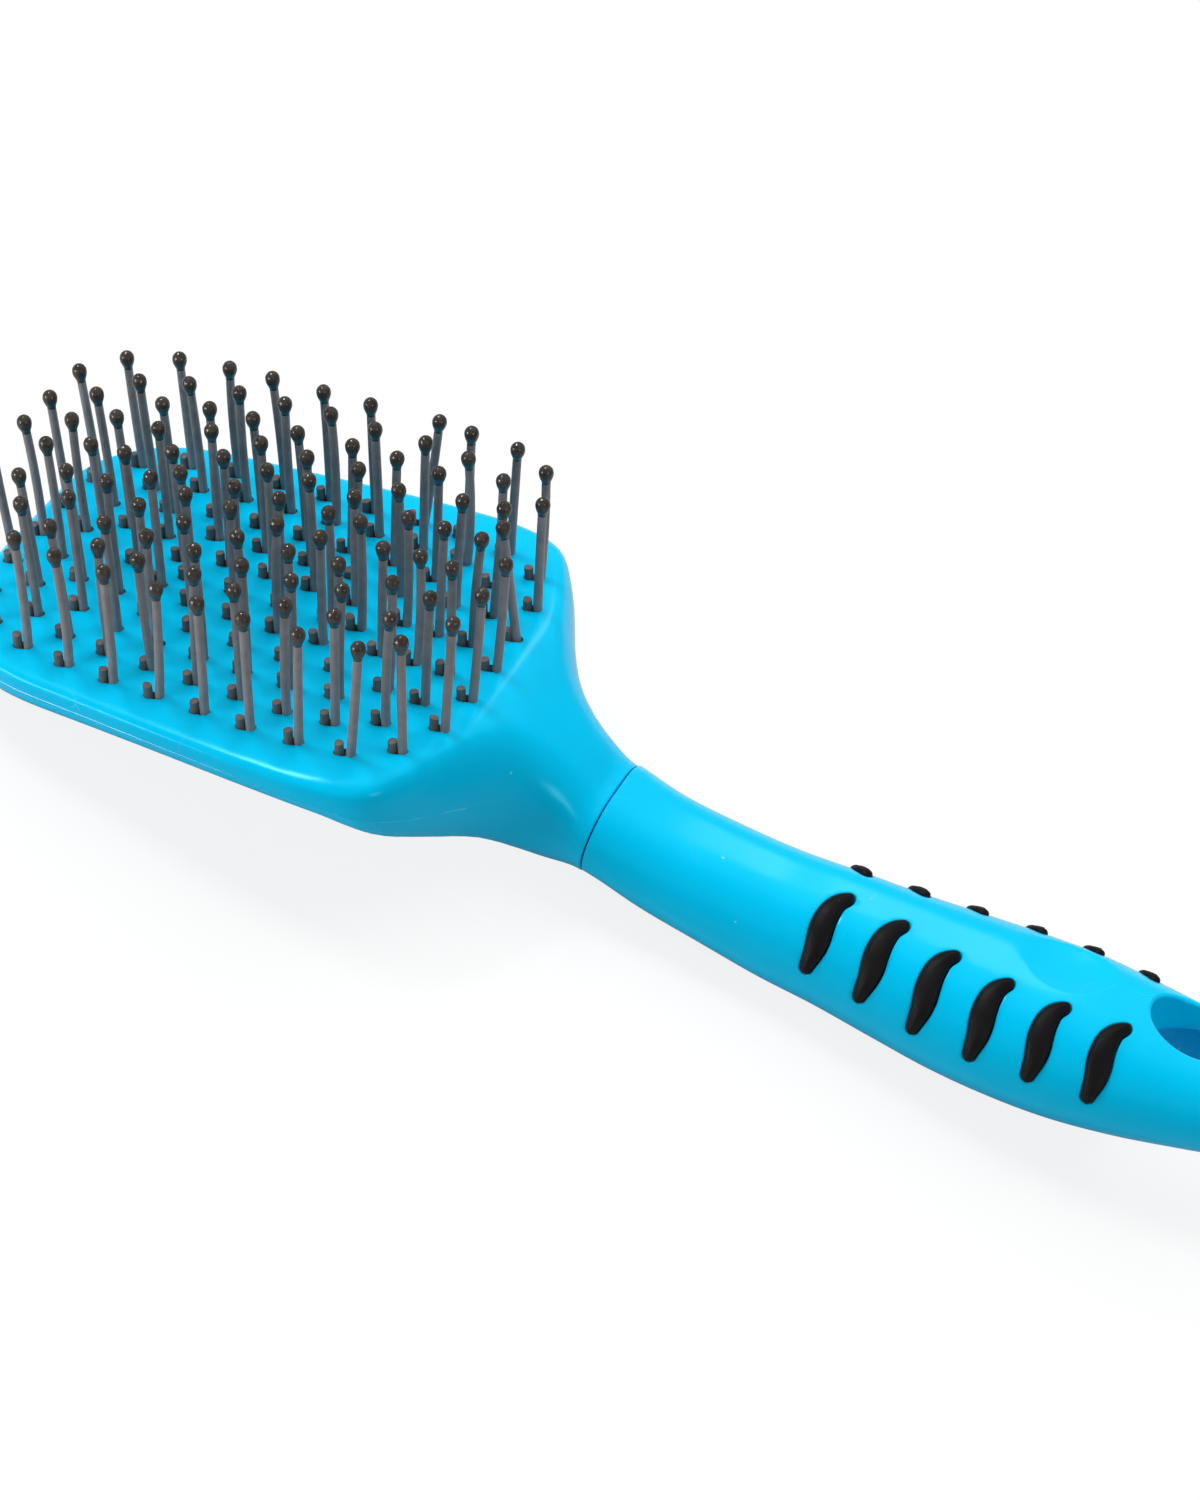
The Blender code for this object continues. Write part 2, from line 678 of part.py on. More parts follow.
def build():
    """Model the whole brush."""
    parts = make_collection("mane_brush")
    cutters = make_collection("cutters")
    blue = make_material("blue_plastic", BLUE, 0.35)
    rubber = make_material("black_rubber", RUBBER_BLACK, 0.55)
    nylon = make_material("grey_nylon", NYLON_GREY, 0.45)

    tilt, place = rest_pose()
    frame = bpy.data.objects.new("brush_frame", None)
    parts.objects.link(frame)
    frame.rotation_euler = (0, tilt, 0)
    frame.location = place

    floor_size = (2 * (HEAD_LENGTH + HANDLE_LENGTH), 2 * HEAD_WIDTH, OVERRUN)
    floor_place = Matrix.Translation((0, 0, -OVERRUN / 2))
    floor = add_cutter("rest_plane", box_mesh("rest_plane", floor_size, floor_place), cutters, None)

    rows = pin_rows()
    head = add_object("head", loft_mesh("head", head_section, head_places()), parts, frame)
    add_boolean(head, add_cutter("past_neck", seam_box("past_neck", 1), cutters, frame), "DIFFERENCE")
    add_boolean(head, add_cutter("tang", tang_mesh("tang", 0.0), cutters, frame), "UNION")
    slices = joined_slices_mesh("slice_rooms", rows)
    add_boolean(head, add_cutter("slice_rooms", slices, cutters, frame), "DIFFERENCE")
    holes = pin_holes_mesh("pin_holes", rows)
    add_boolean(head, add_cutter("pin_holes", holes, cutters, frame), "DIFFERENCE")
    add_boolean(head, floor, "DIFFERENCE")
    finish(head, blue, radians(40))

    for name, feet in rows:
        row = add_object(name, slice_mesh(name, feet, 0.0), parts, frame)
        pins = add_cutter(f"{name}_pins", pins_mesh(name, feet), cutters, frame)
        add_boolean(row, pins, "UNION")
        finish(row, nylon, radians(60))

    handle_mesh = loft_mesh("handle", handle_section, handle_places())
    handle = add_object("handle", handle_mesh, parts, frame)
    add_boolean(handle, add_cutter("past_head", seam_box("past_head", -1), cutters, frame), "DIFFERENCE")
    socket = add_cutter("tang_socket", tang_mesh("tang_socket", CLEARANCE), cutters, frame)
    add_boolean(handle, socket, "DIFFERENCE")
    hole_place = along_grip(HANDLE_LENGTH - HOLE_TO_BUTT)
    hole = oval_mesh("hang_hole", HOLE_LENGTH, HOLE_WIDTH, HOLE_SIDES, hole_place, OVERRUN + GRIP_DEPTH)
    add_boolean(handle, add_cutter("hang_hole", hole, cutters, frame), "DIFFERENCE")
    dish = add_cutter("thumb_dish", dish_mesh("thumb_dish"), cutters, frame)
    add_boolean(handle, dish, "DIFFERENCE")

    proud_mesh = loft_mesh("rib_skin", handle_section, handle_places(), RIB_PROUD)
    proud = add_cutter("rib_skin", proud_mesh, cutters, frame)
    core_mesh = loft_mesh("rib_core", handle_section, handle_places(), CLEARANCE - RIB_POCKET_DEPTH)
    core = add_cutter("rib_core", core_mesh, cutters, frame)
    deep_mesh = loft_mesh("pocket_core", handle_section, handle_places(), -RIB_POCKET_DEPTH)
    deep = add_cutter("pocket_core", deep_mesh, cutters, frame)
    numbers = range(RIB_COUNT)
    for side_name, side in (("near", -1), ("far", 1)):
        pockets = ribs_mesh(f"pockets_{side_name}", numbers, side, CLEARANCE)
        pocket = add_cutter(f"pockets_{side_name}", pockets, cutters, frame)
        add_boolean(pocket, deep, "DIFFERENCE")
        add_boolean(handle, pocket, "DIFFERENCE")
        for number in numbers:
            name = f"grip_rib_{side_name}_{number + 1}"
            rib = add_object(name, ribs_mesh(name, [number], side, 0.0), parts, frame)
            add_boolean(rib, proud, "INTERSECT")
            add_boolean(rib, core, "DIFFERENCE")
            finish(rib, rubber, radians(60))

    pad_place = along_handle(PAD_TO_SEAM) @ Matrix.Translation((0, 0, -GRIP_DEPTH / 2))
    pad_hole = oval_mesh("pad_pocket", PAD_LENGTH + 2 * CLEARANCE, PAD_WIDTH + 2 * CLEARANCE,
                         PAD_SIDES, pad_place, GRIP_DEPTH)
    pad_pocket = add_cutter("pad_pocket", pad_hole, cutters, frame)
    add_boolean(pad_pocket, deep, "DIFFERENCE")
    add_boolean(handle, pad_pocket, "DIFFERENCE")
    finish(handle, blue, radians(40))
    pad_mesh = oval_mesh("underside_pad", PAD_LENGTH, PAD_WIDTH, PAD_SIDES, pad_place, GRIP_DEPTH)
    pad = add_object("underside_pad", pad_mesh, parts, frame)
    face_mesh = loft_mesh("pad_skin", handle_section, handle_places(), PAD_PROUD)
    add_boolean(pad, add_cutter("pad_skin", face_mesh, cutters, frame), "INTERSECT")
    add_boolean(pad, core, "DIFFERENCE")
    add_boolean(pad, floor, "DIFFERENCE")
    finish(pad, rubber, radians(60))


def main():
    """Clear the scene and model the brush."""
    for old in list(bpy.data.objects):
        bpy.data.objects.remove(old, do_unlink=True)
    build()


if __name__ == "__main__":
    main()
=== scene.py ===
"""Mane and tail brush, dressed for rendering round its packed solids.

Run as a script, it loads the packed model, makes every piece of the brush in full detail, and
leaves the scene ready to render. It is laid out as an add-on: each group of pieces has its own
operator and button, and the sizes and colours are properties of the scene.

The pieces are modelled in the brush's own frame: origin in the neck joint at the height of the
pin face, +X along the handle, pins along +Z. Everything is in metres.
"""
from math import acos, asin, atan2, copysign, cos, pi, radians, sin, tan
from random import Random
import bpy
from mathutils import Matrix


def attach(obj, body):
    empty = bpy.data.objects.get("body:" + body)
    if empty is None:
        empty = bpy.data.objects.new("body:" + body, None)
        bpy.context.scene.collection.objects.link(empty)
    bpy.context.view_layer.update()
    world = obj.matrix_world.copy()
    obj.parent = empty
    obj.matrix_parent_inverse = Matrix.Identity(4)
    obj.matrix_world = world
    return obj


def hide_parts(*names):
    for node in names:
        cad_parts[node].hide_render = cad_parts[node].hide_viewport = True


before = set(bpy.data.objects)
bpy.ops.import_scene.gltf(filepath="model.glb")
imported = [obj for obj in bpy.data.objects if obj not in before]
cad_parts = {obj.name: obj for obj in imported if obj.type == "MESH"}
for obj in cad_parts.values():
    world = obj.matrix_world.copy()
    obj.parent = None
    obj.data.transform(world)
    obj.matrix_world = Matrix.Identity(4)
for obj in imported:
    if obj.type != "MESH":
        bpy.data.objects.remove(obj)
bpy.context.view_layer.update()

from types import SimpleNamespace

import bmesh
import bpy
from bpy.props import FloatProperty, FloatVectorProperty, IntProperty, PointerProperty
from mathutils import Matrix, Vector
from mathutils.bvhtree import BVHTree

bl_info = {
    "name": "Mane Brush",
    "version": (1, 0, 0),
    "blender": (4, 5, 0),
    "location": "3D View > Sidebar > Mane Brush",
    "description": "Makes the pieces of a mane and tail brush round its packed solids",
    "category": "Object",
}

BODY = "root"

# The rows of both moulded bodies, as shares of the sizes they follow.
# Head, from the neck joint to the free end: place along the head; half width over half the
# head's width; top, parting line and underside below the face over the neck's drop;
# squareness of the upper and of the lower half.
HEAD_ROW_SHARES = (
    (-0.080, 0.282, 0.770, 1.090, 1.420, 2.3, 2.4),
    (0.000, 0.290, 0.706, 1.000, 1.338, 2.3, 2.4),
    (0.037, 0.281, 0.520, 0.874, 1.350, 2.4, 2.6),
    (0.074, 0.306, 0.340, 0.740, 1.348, 2.8, 2.7),
    (0.111, 0.386, 0.175, 0.605, 1.270, 3.4, 2.7),
    (0.148, 0.548, 0.040, 0.493, 1.090, 5.2, 2.5),
    (0.185, 0.757, 0.000, 0.381, 0.920, 8.0, 2.3),
    (0.231, 0.925, 0.000, 0.269, 0.775, 13.0, 2.3),
    (0.306, 0.990, 0.000, 0.179, 0.570, 18.0, 2.5),
    (0.417, 0.990, 0.000, 0.148, 0.512, 22.0, 2.7),
    (0.556, 0.963, 0.000, 0.135, 0.492, 24.0, 3.0),
    (0.741, 0.915, 0.000, 0.135, 0.515, 24.0, 3.2),
    (1.000, 0.860, 0.000, 0.135, 0.550, 24.0, 3.4),
)
# Handle, from the neck joint to the butt: place along the handle; drop of the centre line below
# the neck over the grip's drop; half width over half the grip's width; half depth over half
# the grip's depth; squareness.
HANDLE_ROW_SHARES = (
    (-0.060, -0.102, 0.762, 0.728, 2.3),
    (0.000, 0.006, 0.742, 0.714, 2.3),
    (0.077, 0.240, 0.720, 0.765, 2.3),
    (0.162, 0.410, 0.730, 0.818, 2.3),
    (0.248, 0.556, 0.752, 0.895, 2.3),
    (0.333, 0.645, 0.785, 0.970, 2.3),
    (0.419, 0.750, 0.860, 1.015, 2.3),
    (0.504, 0.836, 0.955, 1.035, 2.3),
    (0.590, 0.893, 1.015, 1.035, 2.3),
    (0.675, 0.936, 1.015, 1.020, 2.3),
    (0.761, 0.978, 0.940, 0.935, 2.3),
    (0.846, 0.993, 0.850, 0.812, 2.3),
    (1.000, 0.960, 0.790, 0.690, 2.3),
)
# Spine of one grip rib, from its lower tip to the end of its hook: place along the spine; place
# across over the rib's hook; place up over the rib's length; half width over the rib's width.
RIB_SPINE_SHARES = (
    (0.000, -0.45, -0.504, 0.220),
    (0.060, -0.32, -0.441, 0.245),
    (0.157, -0.14, -0.338, 0.313),
    (0.283, 0.04, -0.206, 0.397),
    (0.407, -0.05, -0.074, 0.460),
    (0.540, -0.33, 0.066, 0.470),
    (0.665, -0.40, 0.199, 0.444),
    (0.756, -0.22, 0.294, 0.415),
    (0.834, 0.22, 0.371, 0.354),
    (0.900, 0.85, 0.423, 0.282),
    (0.949, 1.45, 0.452, 0.236),
    (1.000, 2.15, 0.467, 0.225),
)
# Length of a rib's rounded ends over the length of its spine.
RIB_CAP_SHARE = 0.06
# Each rib from the neck on: rise over the rib's length, its own length over the rib's length,
# and shift along the handle over the rib's width.
RIB_PLACE_SHARES = (
    (0.060, 1.00, 0.00),
    (0.030, 1.03, -0.06),
    (-0.045, 1.03, -0.05),
    (-0.095, 1.00, 0.03),
    (-0.100, 0.95, 0.03),
    (-0.090, 0.95, 0.03),
)
# Rings of pins from the outer one in: start as a share of a pitch, then how many pins stand at
# the neck, along the far flank, at the free end and along the near flank.
RING_ROWS = (
    (0.0, 7, 8, 7, 8),
    (0.5, 6, 8, 4, 8),
    (0.5, 6, 6, 3, 6),
    (0.5, 4, 5, 0, 6),
    (0.0, 3, 4, 0, 4),
)
ROW_SIDES = ("neck", "far", "tip", "near")
# Pins of the short middle row.
AXIS_COUNT = 4
# How far along the brush the pins of the outermost rows lean, over a pin's height.
ROW_LEAN_SHARES = {
    "pin_row_1_near": (-0.015, -0.050, -0.010, 0.040, 0.000, -0.020, 0.045, 0.125),
    "pin_row_1_neck": (0.015, 0.095, 0.115, 0.090, -0.115, 0.050, 0.057),
    "pin_row_1_far": (0.095, 0.080, 0.176, 0.000, -0.024, -0.070, -0.033, -0.067),
}
# Turned shape of a ball tip: distance below its top over the ball's length, radius over the
# ball's radius.
BALL_ROW_SHARES = (
    (0.00, 0.08), (0.02, 0.32), (0.07, 0.56), (0.15, 0.78), (0.26, 0.94), (0.38, 1.00),
    (0.50, 0.99), (0.62, 0.92), (0.74, 0.80), (0.85, 0.68), (0.94, 0.60),
)
# A ball's top stands over its middle by this share of its length.
BALL_MIDDLE_SHARE = 0.45
# Worn upper edge of a cut leg: distance below its top over the edge's depth, radius over the
# leg's radius; and the edge's depth over that radius.
STUB_ROW_SHARES = ((1.3, 1.0), (0.4, 0.97), (0.0, 0.86))
STUB_EDGE_SHARE = 0.16
# How much the cut legs differ: height, place of the top, and slant of the cut.
STUB_SPREAD_SHARE = 0.09
STUB_TOP_STRAY = 0.00006
STUB_SLANT = 0.12
# Share of its stray that a pin with a lean of its own keeps.
LEANING_STRAY_SHARE = 0.4
# Numbers of the pins' finishes among a row's materials, after the leg's own.
BALL_FINISH = 1
# The cut legs' finish is darker over the whole leg: bruised cut ends, and painted shade of the
# long legs.
CUT_AND_SHADE_FINISH = 2
# Steps along a long leg and round a pin; points round a hole, and how far its cutter stands
# over the face; points of a ring's outline between which the feet are placed.
LEG_STEPS = 7
PIN_SIDES = 16
PIN_HOLE_SIDES = 20
PIN_HOLE_CLEAR = 0.0008
FIELD_PATH_STEPS = 720

# How the body's rings are sampled. A ring's upper quarter runs from the parting line (0) past
# the moulding flash (1) and up the flank (2) to the middle of the crown (3).
FLASH_STEPS = (0.0, 0.24, 0.48, 1.0)
FLANK_STEPS = 30
CROWN_STEPS = 10
BELLY_STEPS = 18
FLAT_CROWN_ANGLE = radians(75)
CROWN_START_ANGLE = radians(82)
# Half widths of a body at which the moulding line starts to show and shows fully; the most that
# it takes of the height of a ring's half; number of its finish among the head's materials.
FLASH_FADE = (0.0125, 0.0205)
FLASH_MOST_SHARE = 0.1
# Its finish is lighter in dashes: whitened flash, and a painted highlight along the line's ridge.
FLASH_AND_HIGHLIGHT_FINISH = 1
# Squareness of a section whose rim is still round, and of one whose rim is fully sharp.
RIM_POWERS = (3.0, 13.0)
# Squareness of the corners of the free end and of the butt.
TIP_CORNER_POWER = 3.0
BUTT_CORNER_POWER = 2.5
# Least distance from a rounded end, where it would otherwise close to nothing.
LEAST_END_DISTANCE = 1e-7

# Stations along the bodies: pitch on the straight, count and crowding on the rounded ends,
# and how close to the end the last ones stand.
STATION_PITCH = 0.0012
TIP_STATIONS = (34, 2.2)
BUTT_STATIONS = (26, 2.4)
LAST_SETBACKS = (1e-5, 1e-6)
# Neck joint: steps round its lip; how far from it the first station stands, over the lip's
# size; share of the neck's drop over which its lean fades out; passes that lean a ring.
LIP_STEPS = 4
LIP_CLEAR_SHARE = 3
LEAN_FADE_SHARE = 0.8
LEAN_PASSES = 3
# Thumb dish: parts that a step between stations has beside it, and how far that reaches over
# the dish's length; how far from its middle it shapes, squared and over half its size.
DISH_STATIONS = 3
DISH_FINE_SHARE = 0.6
DISH_REACH = 2
# Parts of the handle's length, one of which each way gives its slope.
SLOPE_PARTS = 100
# The tang's end narrows to a share of its size over a length; its foot stands off the joint.
TANG_END_SHARE = 0.86
TANG_END_LENGTH = 0.0006
TANG_FOOT_LENGTH = 0.0005

# Rib: steps along its outline and round its shoulder, depth at which the shoulder starts, and
# its back as shares of its width and height; least width of its outline.
RIB_LINE_STEPS = 34
RIB_SHOULDER_STEPS = 5
RIB_SHOULDER_DEPTH = 0.0001
RIB_BACK_SHARES = ((0.2, 1.08), (0.5, 1.13), (0.8, 1.08))
LEAST_WIDTH = 1e-5
# Pocket of a rib: steps and angle of its rounded lip; its flare over the skin, over the lip's
# size, out and up; how far its cutter clears the skin, over the grip's width.
POCKET_LIP_STEPS = 3
POCKET_LIP_ANGLE = radians(70)
POCKET_FLARE_SHARES = (1.9, 0.45)
POCKET_CLEAR_SHARE = 0.06

# Points round the oval of the hang hole and of the pad.
OVAL_SIDES = 72
# Hang hole: flare over the skin, over its rim's size, out and up; angles of its rounded rim.
HOLE_FLARE_SHARES = ((1.5, 0.8), (0.69, -0.049))
HOLE_RIM_ANGLES = (30, 45, 60, 75, 90)
# How much smaller the hole's half length and half width are at its step.
HOLE_WAIST_INSETS = (0.0001, 0.0002)
# The step in the hole: height over it, growth, and share of the hole's draft added to it.
HOLE_STEP_ROWS = ((0.00015, 0.0, 0.0), (0.0, 0.0001, 0.0), (-0.0002, 0.0, 1.0))
# Edge of the pad: inset, height over the pad's height. Insets of the rings on its top, over its
# half width. How far the cutter of its pocket stands out, over the pad's height.
PAD_EDGE_ROWS = ((0.0, 0.5), (0.00012, 0.8), (0.0004, 0.97))
PAD_TOP_SHARES = (0.12, 0.2, 0.35, 0.5, 0.7, 0.9)
PAD_RIDGE_PITCH = 0.0021
PAD_CUTTER_SHARE = 2

# Angles between two faces from which their edge shows sharp; how much the large faces lead.
BODY_SHARP_ANGLE = radians(35)
PIN_SHARP_ANGLE = radians(40)
RUBBER_SHARP_ANGLE = radians(60)
LARGE_FACE_WEIGHT = 80

# Where the brush rests, over the head's and over the pad's length; depth of the flats that it
# rests on; gap between pieces that fit into each other.
REST_TIP_SHARE = 0.965
REST_PAD_SHARE = 0.20
REST_FLAT_DEPTH = 0.0004
FIT_GAP = 0.0003

# Span of the mottle's mask that the colour and the gloss follow; how much marks dull the gloss;
# how far the scratches are bent; span of the mask where the moulding line is lighter, as
# whitened flash and a painted highlight, and how much.
MOTTLE_SPAN = (0.3, 0.7)
MARK_DULLING = 0.25
SCRATCH_BEND = (0.02, 0.02, 0.02)
TORN_AND_HIGHLIGHT_SPAN = (0.49, 0.60)
TORN_AND_HIGHLIGHT_STRENGTH = 0.28

# Lamps: name, place, what it faces, size, its power's property, and whether gloss shows it.
MIDDLE = (0.0, 0.0, 0.02)
HEAD_MIDDLE = (-0.10, 0.0, 0.02)
LAMPS = (
    ("top_lamp", (0.0, 0.50, 0.95), MIDDLE, (1.2, 1.2), "top_power", False),
    ("back_lamp", (-0.25, 0.75, 0.72), MIDDLE, (0.14, 0.14), "back_power", True),
    ("rim_lamp", (-0.66, 0.12, 0.90), MIDDLE, (0.28, 0.10), "rim_power", True),
    ("side_lamp", (0.64, -0.45, 0.45), MIDDLE, (0.20, 0.20), "side_power", True),
    ("fill_lamp", (-0.10, -0.85, 0.60), MIDDLE, (0.60, 0.40), "fill_power", True),
    ("left_lamp", (-0.36, -0.27, 0.07), HEAD_MIDDLE, (0.16, 0.10), "left_power", True),
)
# Floor: how much of it shows plain white to the camera near the brush and far from it, and at
# what distances; cells along a side; how far it lies below the brush; roughness.
FLOOR_WHITE_SHARES = (0.84, 1.0)
FLOOR_WHITE_DISTANCES = (0.30, 1.10)
FLOOR_CELLS = 8
FLOOR_DROP = 0.00002
FLOOR_ROUGHNESS = 0.9

# The photograph's camera, in the brush's own frame, its sensor in millimetres, and the nearest
# and the farthest distance that it sees.
SENSOR_HEIGHT = 36.0
CLIP_DISTANCES = (0.01, 20.0)
CAMERA_PLACE = (0.1966156, -0.4345343, 0.3924567)
CAMERA_RIGHT = (0.9065240, 0.4220731, 0.0082812)
CAMERA_DOWN = (0.2776466, -0.5813200, -0.7648395)
CAMERA_FORWARD = (-0.3180041, 0.6956446, -0.6441677)


def length(name, description, default):
    """Property that holds one length of the brush."""
    return FloatProperty(
        name=name, description=description, default=default, unit="LENGTH", precision=5
    )


def turn(name, description, degrees):
    """Property that holds one angle of the brush."""
    return FloatProperty(
        name=name, description=description, default=radians(degrees), unit="ROTATION"
    )


def shade(name, description, default):
    """Property that holds one colour."""
    return FloatVectorProperty(
        name=name, description=description, default=default, subtype="COLOR", size=3,
        min=0.0, max=1.0,
    )


def level(name, description, default):
    """Property that holds one strength or roughness."""
    return FloatProperty(name=name, description=description, default=default, min=0.0)


class BodySizes(bpy.types.PropertyGroup):
    """Sizes of the head and of the handle."""

    head_length: length("Head length", "From the neck joint to the free end", 0.1072)
    head_width: length("Head width", "Across the pin face", 0.0745)
    neck_drop: length("Neck drop", "Middle of the neck joint below the pin face", 0.0230)
    tip_corner: length("Tip corner", "Length of the free end's rounded corners", 0.027)
    rim_sharpness: level("Rim sharpness", "How sharply the pin face turns into the sides", 0.52)
    tip_edge: length("Tip edge", "Length over which the free end thins out", 0.0035)
    handle_length: length("Handle length", "From the neck joint to the butt", 0.1178)
    grip_width: length("Grip width", "Widest place of the grip", 0.0296)
    grip_depth: length("Grip depth", "Deepest place of the grip", 0.0204)
    grip_drop: length("Grip drop", "How far the grip sinks below the neck", 0.0164)
    butt_corner: length("Butt corner", "Length of the butt's rounded outline", 0.024)
    butt_edge: length("Butt edge", "Length over which the butt thins out", 0.0080)
    seam_lean: turn("Seam lean", "Lean of the neck joint", 10)
    seam_lip: length("Seam lip", "Rounding of the two edges of the neck joint", 0.00028)
    tang_length: length("Tang length", "How far the head's peg enters the handle", 0.0260)
    tang_lean: turn("Tang lean", "Lean of the peg below the handle's line", 16)
    tang_width: length("Tang width", "Width of the peg", 0.0136)
    tang_depth: length("Tang depth", "Depth of the peg", 0.0086)
    flash_width: length("Flash width", "Half width of the moulding line", 0.00010)
    flash_height: length("Flash height", "How far the moulding line stands out", 0.00007)
    hole_length: length("Hole length", "Length of the oval hang hole", 0.0168)
    hole_width: length("Hole width", "Width of the oval hang hole", 0.0134)
    hole_setback: length("Hole setback", "How far the hole sits towards the neck", 0.0004)
    hole_shift: length("Hole shift", "How far the hole's top sits towards the far flank", 0.0014)
    hole_to_butt: length("Hole to butt", "Middle of the hang hole from the butt", 0.0192)
    hole_rim: length("Hole rim", "Rounding of the hang hole's edge", 0.0007)
    hole_draft: length("Hole draft", "How much wider the hole is below its step", 0.0020)
    hole_step: length("Hole step", "Height of the step in the hole above its middle", 0.0042)
    grip_roll: turn("Grip roll", "Turn of the ribs and hole towards the far flank", 12)
    dish_to_butt: length("Dish to butt", "Middle of the thumb dish from the butt", 0.0413)
    dish_length: length("Dish length", "Length of the thumb dish", 0.0128)
    dish_width: length("Dish width", "Width of the thumb dish", 0.0166)
    dish_depth: length("Dish depth", "Depth of the thumb dish", 0.0009)
    dish_edge: length("Dish edge", "Softness of the thumb dish's edge", 0.00010)
    dish_lean: turn("Dish lean", "Lean of the dish's floor down towards the neck", 2)


class PinSizes(bpy.types.PropertyGroup):
    """Sizes of the pins and of the field that they stand in."""

    pin_height: length("Pin height", "Standing height to the middle of the ball", 0.0210)
    pin_width: length("Pin width", "Diameter of the long leg at its foot", 0.00154)
    pin_neck: length("Pin neck", "Diameter of the long leg under the ball", 0.00142)
    ball_width: length("Ball width", "Diameter of the ball tip", 0.00242)
    ball_length: length("Ball length", "Length of the ball tip", 0.00325)
    pin_splay: length("Pin splay", "How far the end pins lean outwards", 0.0021)
    pin_bow: length("Pin bow", "How far a leg bends out of line", 0.00022)
    pin_stray: length("Pin stray", "How far a tip strays from its place", 0.00034)
    stub_height: length("Stub height", "Height of the cut leg", 0.0020)
    stub_width: length("Stub width", "Diameter of the cut leg", 0.00150)
    fold_width: length("Fold width", "Between the two legs of a pin", 0.00157)
    fold_turn: turn("Fold turn", "Turn of the fold from the brush's length", 16)
    pin_root: length("Pin root", "How deep the legs go in", 0.0030)
    hole_gap: length("Hole gap", "Gap between a leg and its hole", 0.00010)
    axis_pitch: length("Axis pitch", "Between the pins of the middle row", 0.0084)
    axis_setback: length("Axis setback", "Middle row from the field's middle", 0.0006)
    ring_pitch: length("Ring pitch", "Between neighbouring rings of pins", 0.0059)
    field_length: length("Field length", "Length of the outer ring of pins", 0.0815)
    field_width: length("Field width", "Width of the outer ring of pins", 0.0596)
    field_to_seam: length("Field to seam", "Outer ring from the neck joint", 0.0202)
    field_power: level("Field squareness", "Squareness of the outer ring", 4.6)
    field_taper: level("Field taper", "Narrowing of the field towards the free end", 0.045)
    pin_seed: IntProperty(
        name="Pin seed", description="Changes how single pins stray and bend", default=7
    )


class RubberSizes(bpy.types.PropertyGroup):
    """Sizes of the grip ribs and of the pad under the handle."""

    rib_to_seam: length("Rib to seam", "First rib from the neck joint", 0.0383)
    rib_pitch: length("Rib pitch", "Between neighbouring ribs", 0.0095)
    rib_length: length("Rib length", "Length of a rib up the flank", 0.0136)
    rib_hook: length("Rib hook", "How far a rib hooks at its upper end", 0.0010)
    rib_width: length("Rib width", "Width that the rib's outline follows", 0.0039)
    rib_lift: turn("Rib lift", "How far up the flank the ribs face", 28)
    rib_far_drop: length("Far rib drop", "How much lower the far ribs sit", 0.0011)
    rib_proud: length("Rib height", "How far a rib stands out of the handle", 0.0008)
    rib_round: length("Rib rounding", "Rounding of the rib's shoulder", 0.0009)
    pocket_depth: length("Pocket depth", "Depth of a rib's pocket", 0.0014)
    pocket_gap: length("Pocket gap", "Gap between rubber and pocket", 0.00016)
    pocket_lip: length("Pocket lip", "Rounding of the pocket's edge", 0.00022)
    pad_to_seam: length("Pad to seam", "Middle of the pad from the neck joint", 0.0205)
    pad_length: length("Pad length", "Length of the pad", 0.0200)
    pad_width: length("Pad width", "Width of the pad", 0.0110)
    pad_proud: length("Pad height", "How far the pad stands out", 0.0010)
    pad_ridge: length("Pad ridge", "Height of the pad's small cross ridges", 0.00016)


class BrushFinishes(bpy.types.PropertyGroup):
    """Colours and gloss of the brush."""

    blue: shade("Blue plastic", "Colour of head and handle", (0.0, 0.550, 0.890))
    blue_gloss: level("Blue roughness", "Roughness of the moulded plastic", 0.20)
    # Lighter dashes on the moulding line: whitened flash, and a painted highlight along its ridge.
    torn_and_highlight: shade("Torn flash", "Colour of the whitened moulding line", (0.42, 0.90, 0.96))
    rubber: shade("Rubber", "Colour of the ribs and the pad", (0.0050, 0.0042, 0.0052))
    rubber_gloss: level("Rubber roughness", "Roughness of the rubber", 0.50)
    nylon: shade("Nylon", "Colour of the pins' legs", (0.232, 0.223, 0.229))
    # Darker over each whole cut leg: its bruised cut end, and painted shade of the long leg beside
    # it.
    cut: shade("Cut nylon", "Colour of the pins' cut ends", (0.130, 0.122, 0.122))
    nylon_gloss: level("Nylon roughness", "Roughness of the pins' legs", 0.40)
    ball: shade("Ball tips", "Colour of the pins' ball tips", (0.041, 0.034, 0.028))
    ball_gloss: level("Ball roughness", "Roughness of the ball tips", 0.17)


class StageSettings(bpy.types.PropertyGroup):
    """Floor, lamps and camera."""

    floor_size: length("Floor size", "Length of the floor's sides", 6.0)
    floor_seen: shade("Floor seen", "Colour of the floor as it is seen", (0.92, 0.92, 0.92))
    floor_colour: shade("Floor", "Colour of the floor as it gives light back", (0.55, 0.55, 0.55))
    top_power: level("Top power", "Large soft lamp overhead, in watts", 11.6)
    back_power: level("Back power", "Small lamp behind, seen in the crests, in watts", 0.35)
    side_power: level("Side power", "Small lamp on the right, in watts", 1.0)
    fill_power: level("Fill power", "Lamp beside the camera, in watts", 0.2)
    left_power: level("Left power", "Low lamp close to the head, in watts", 0.66)
    rim_power: level("Rim power", "Small lamp seen in the head's rim, in watts", 4.0)
    sky_level: level("Sky level", "Light from the surroundings", 0.18)
    mirror_level: level("Mirrored level", "Surroundings as gloss shows them", 0.22)
    focal_length: FloatProperty(
        name="Focal length", description="Lens on a sensor 36 mm tall", default=96.0,
        unit="CAMERA",
    )


SIZE_GROUPS = {"body_sizes": BodySizes, "pin_sizes": PinSizes, "rubber_sizes": RubberSizes}


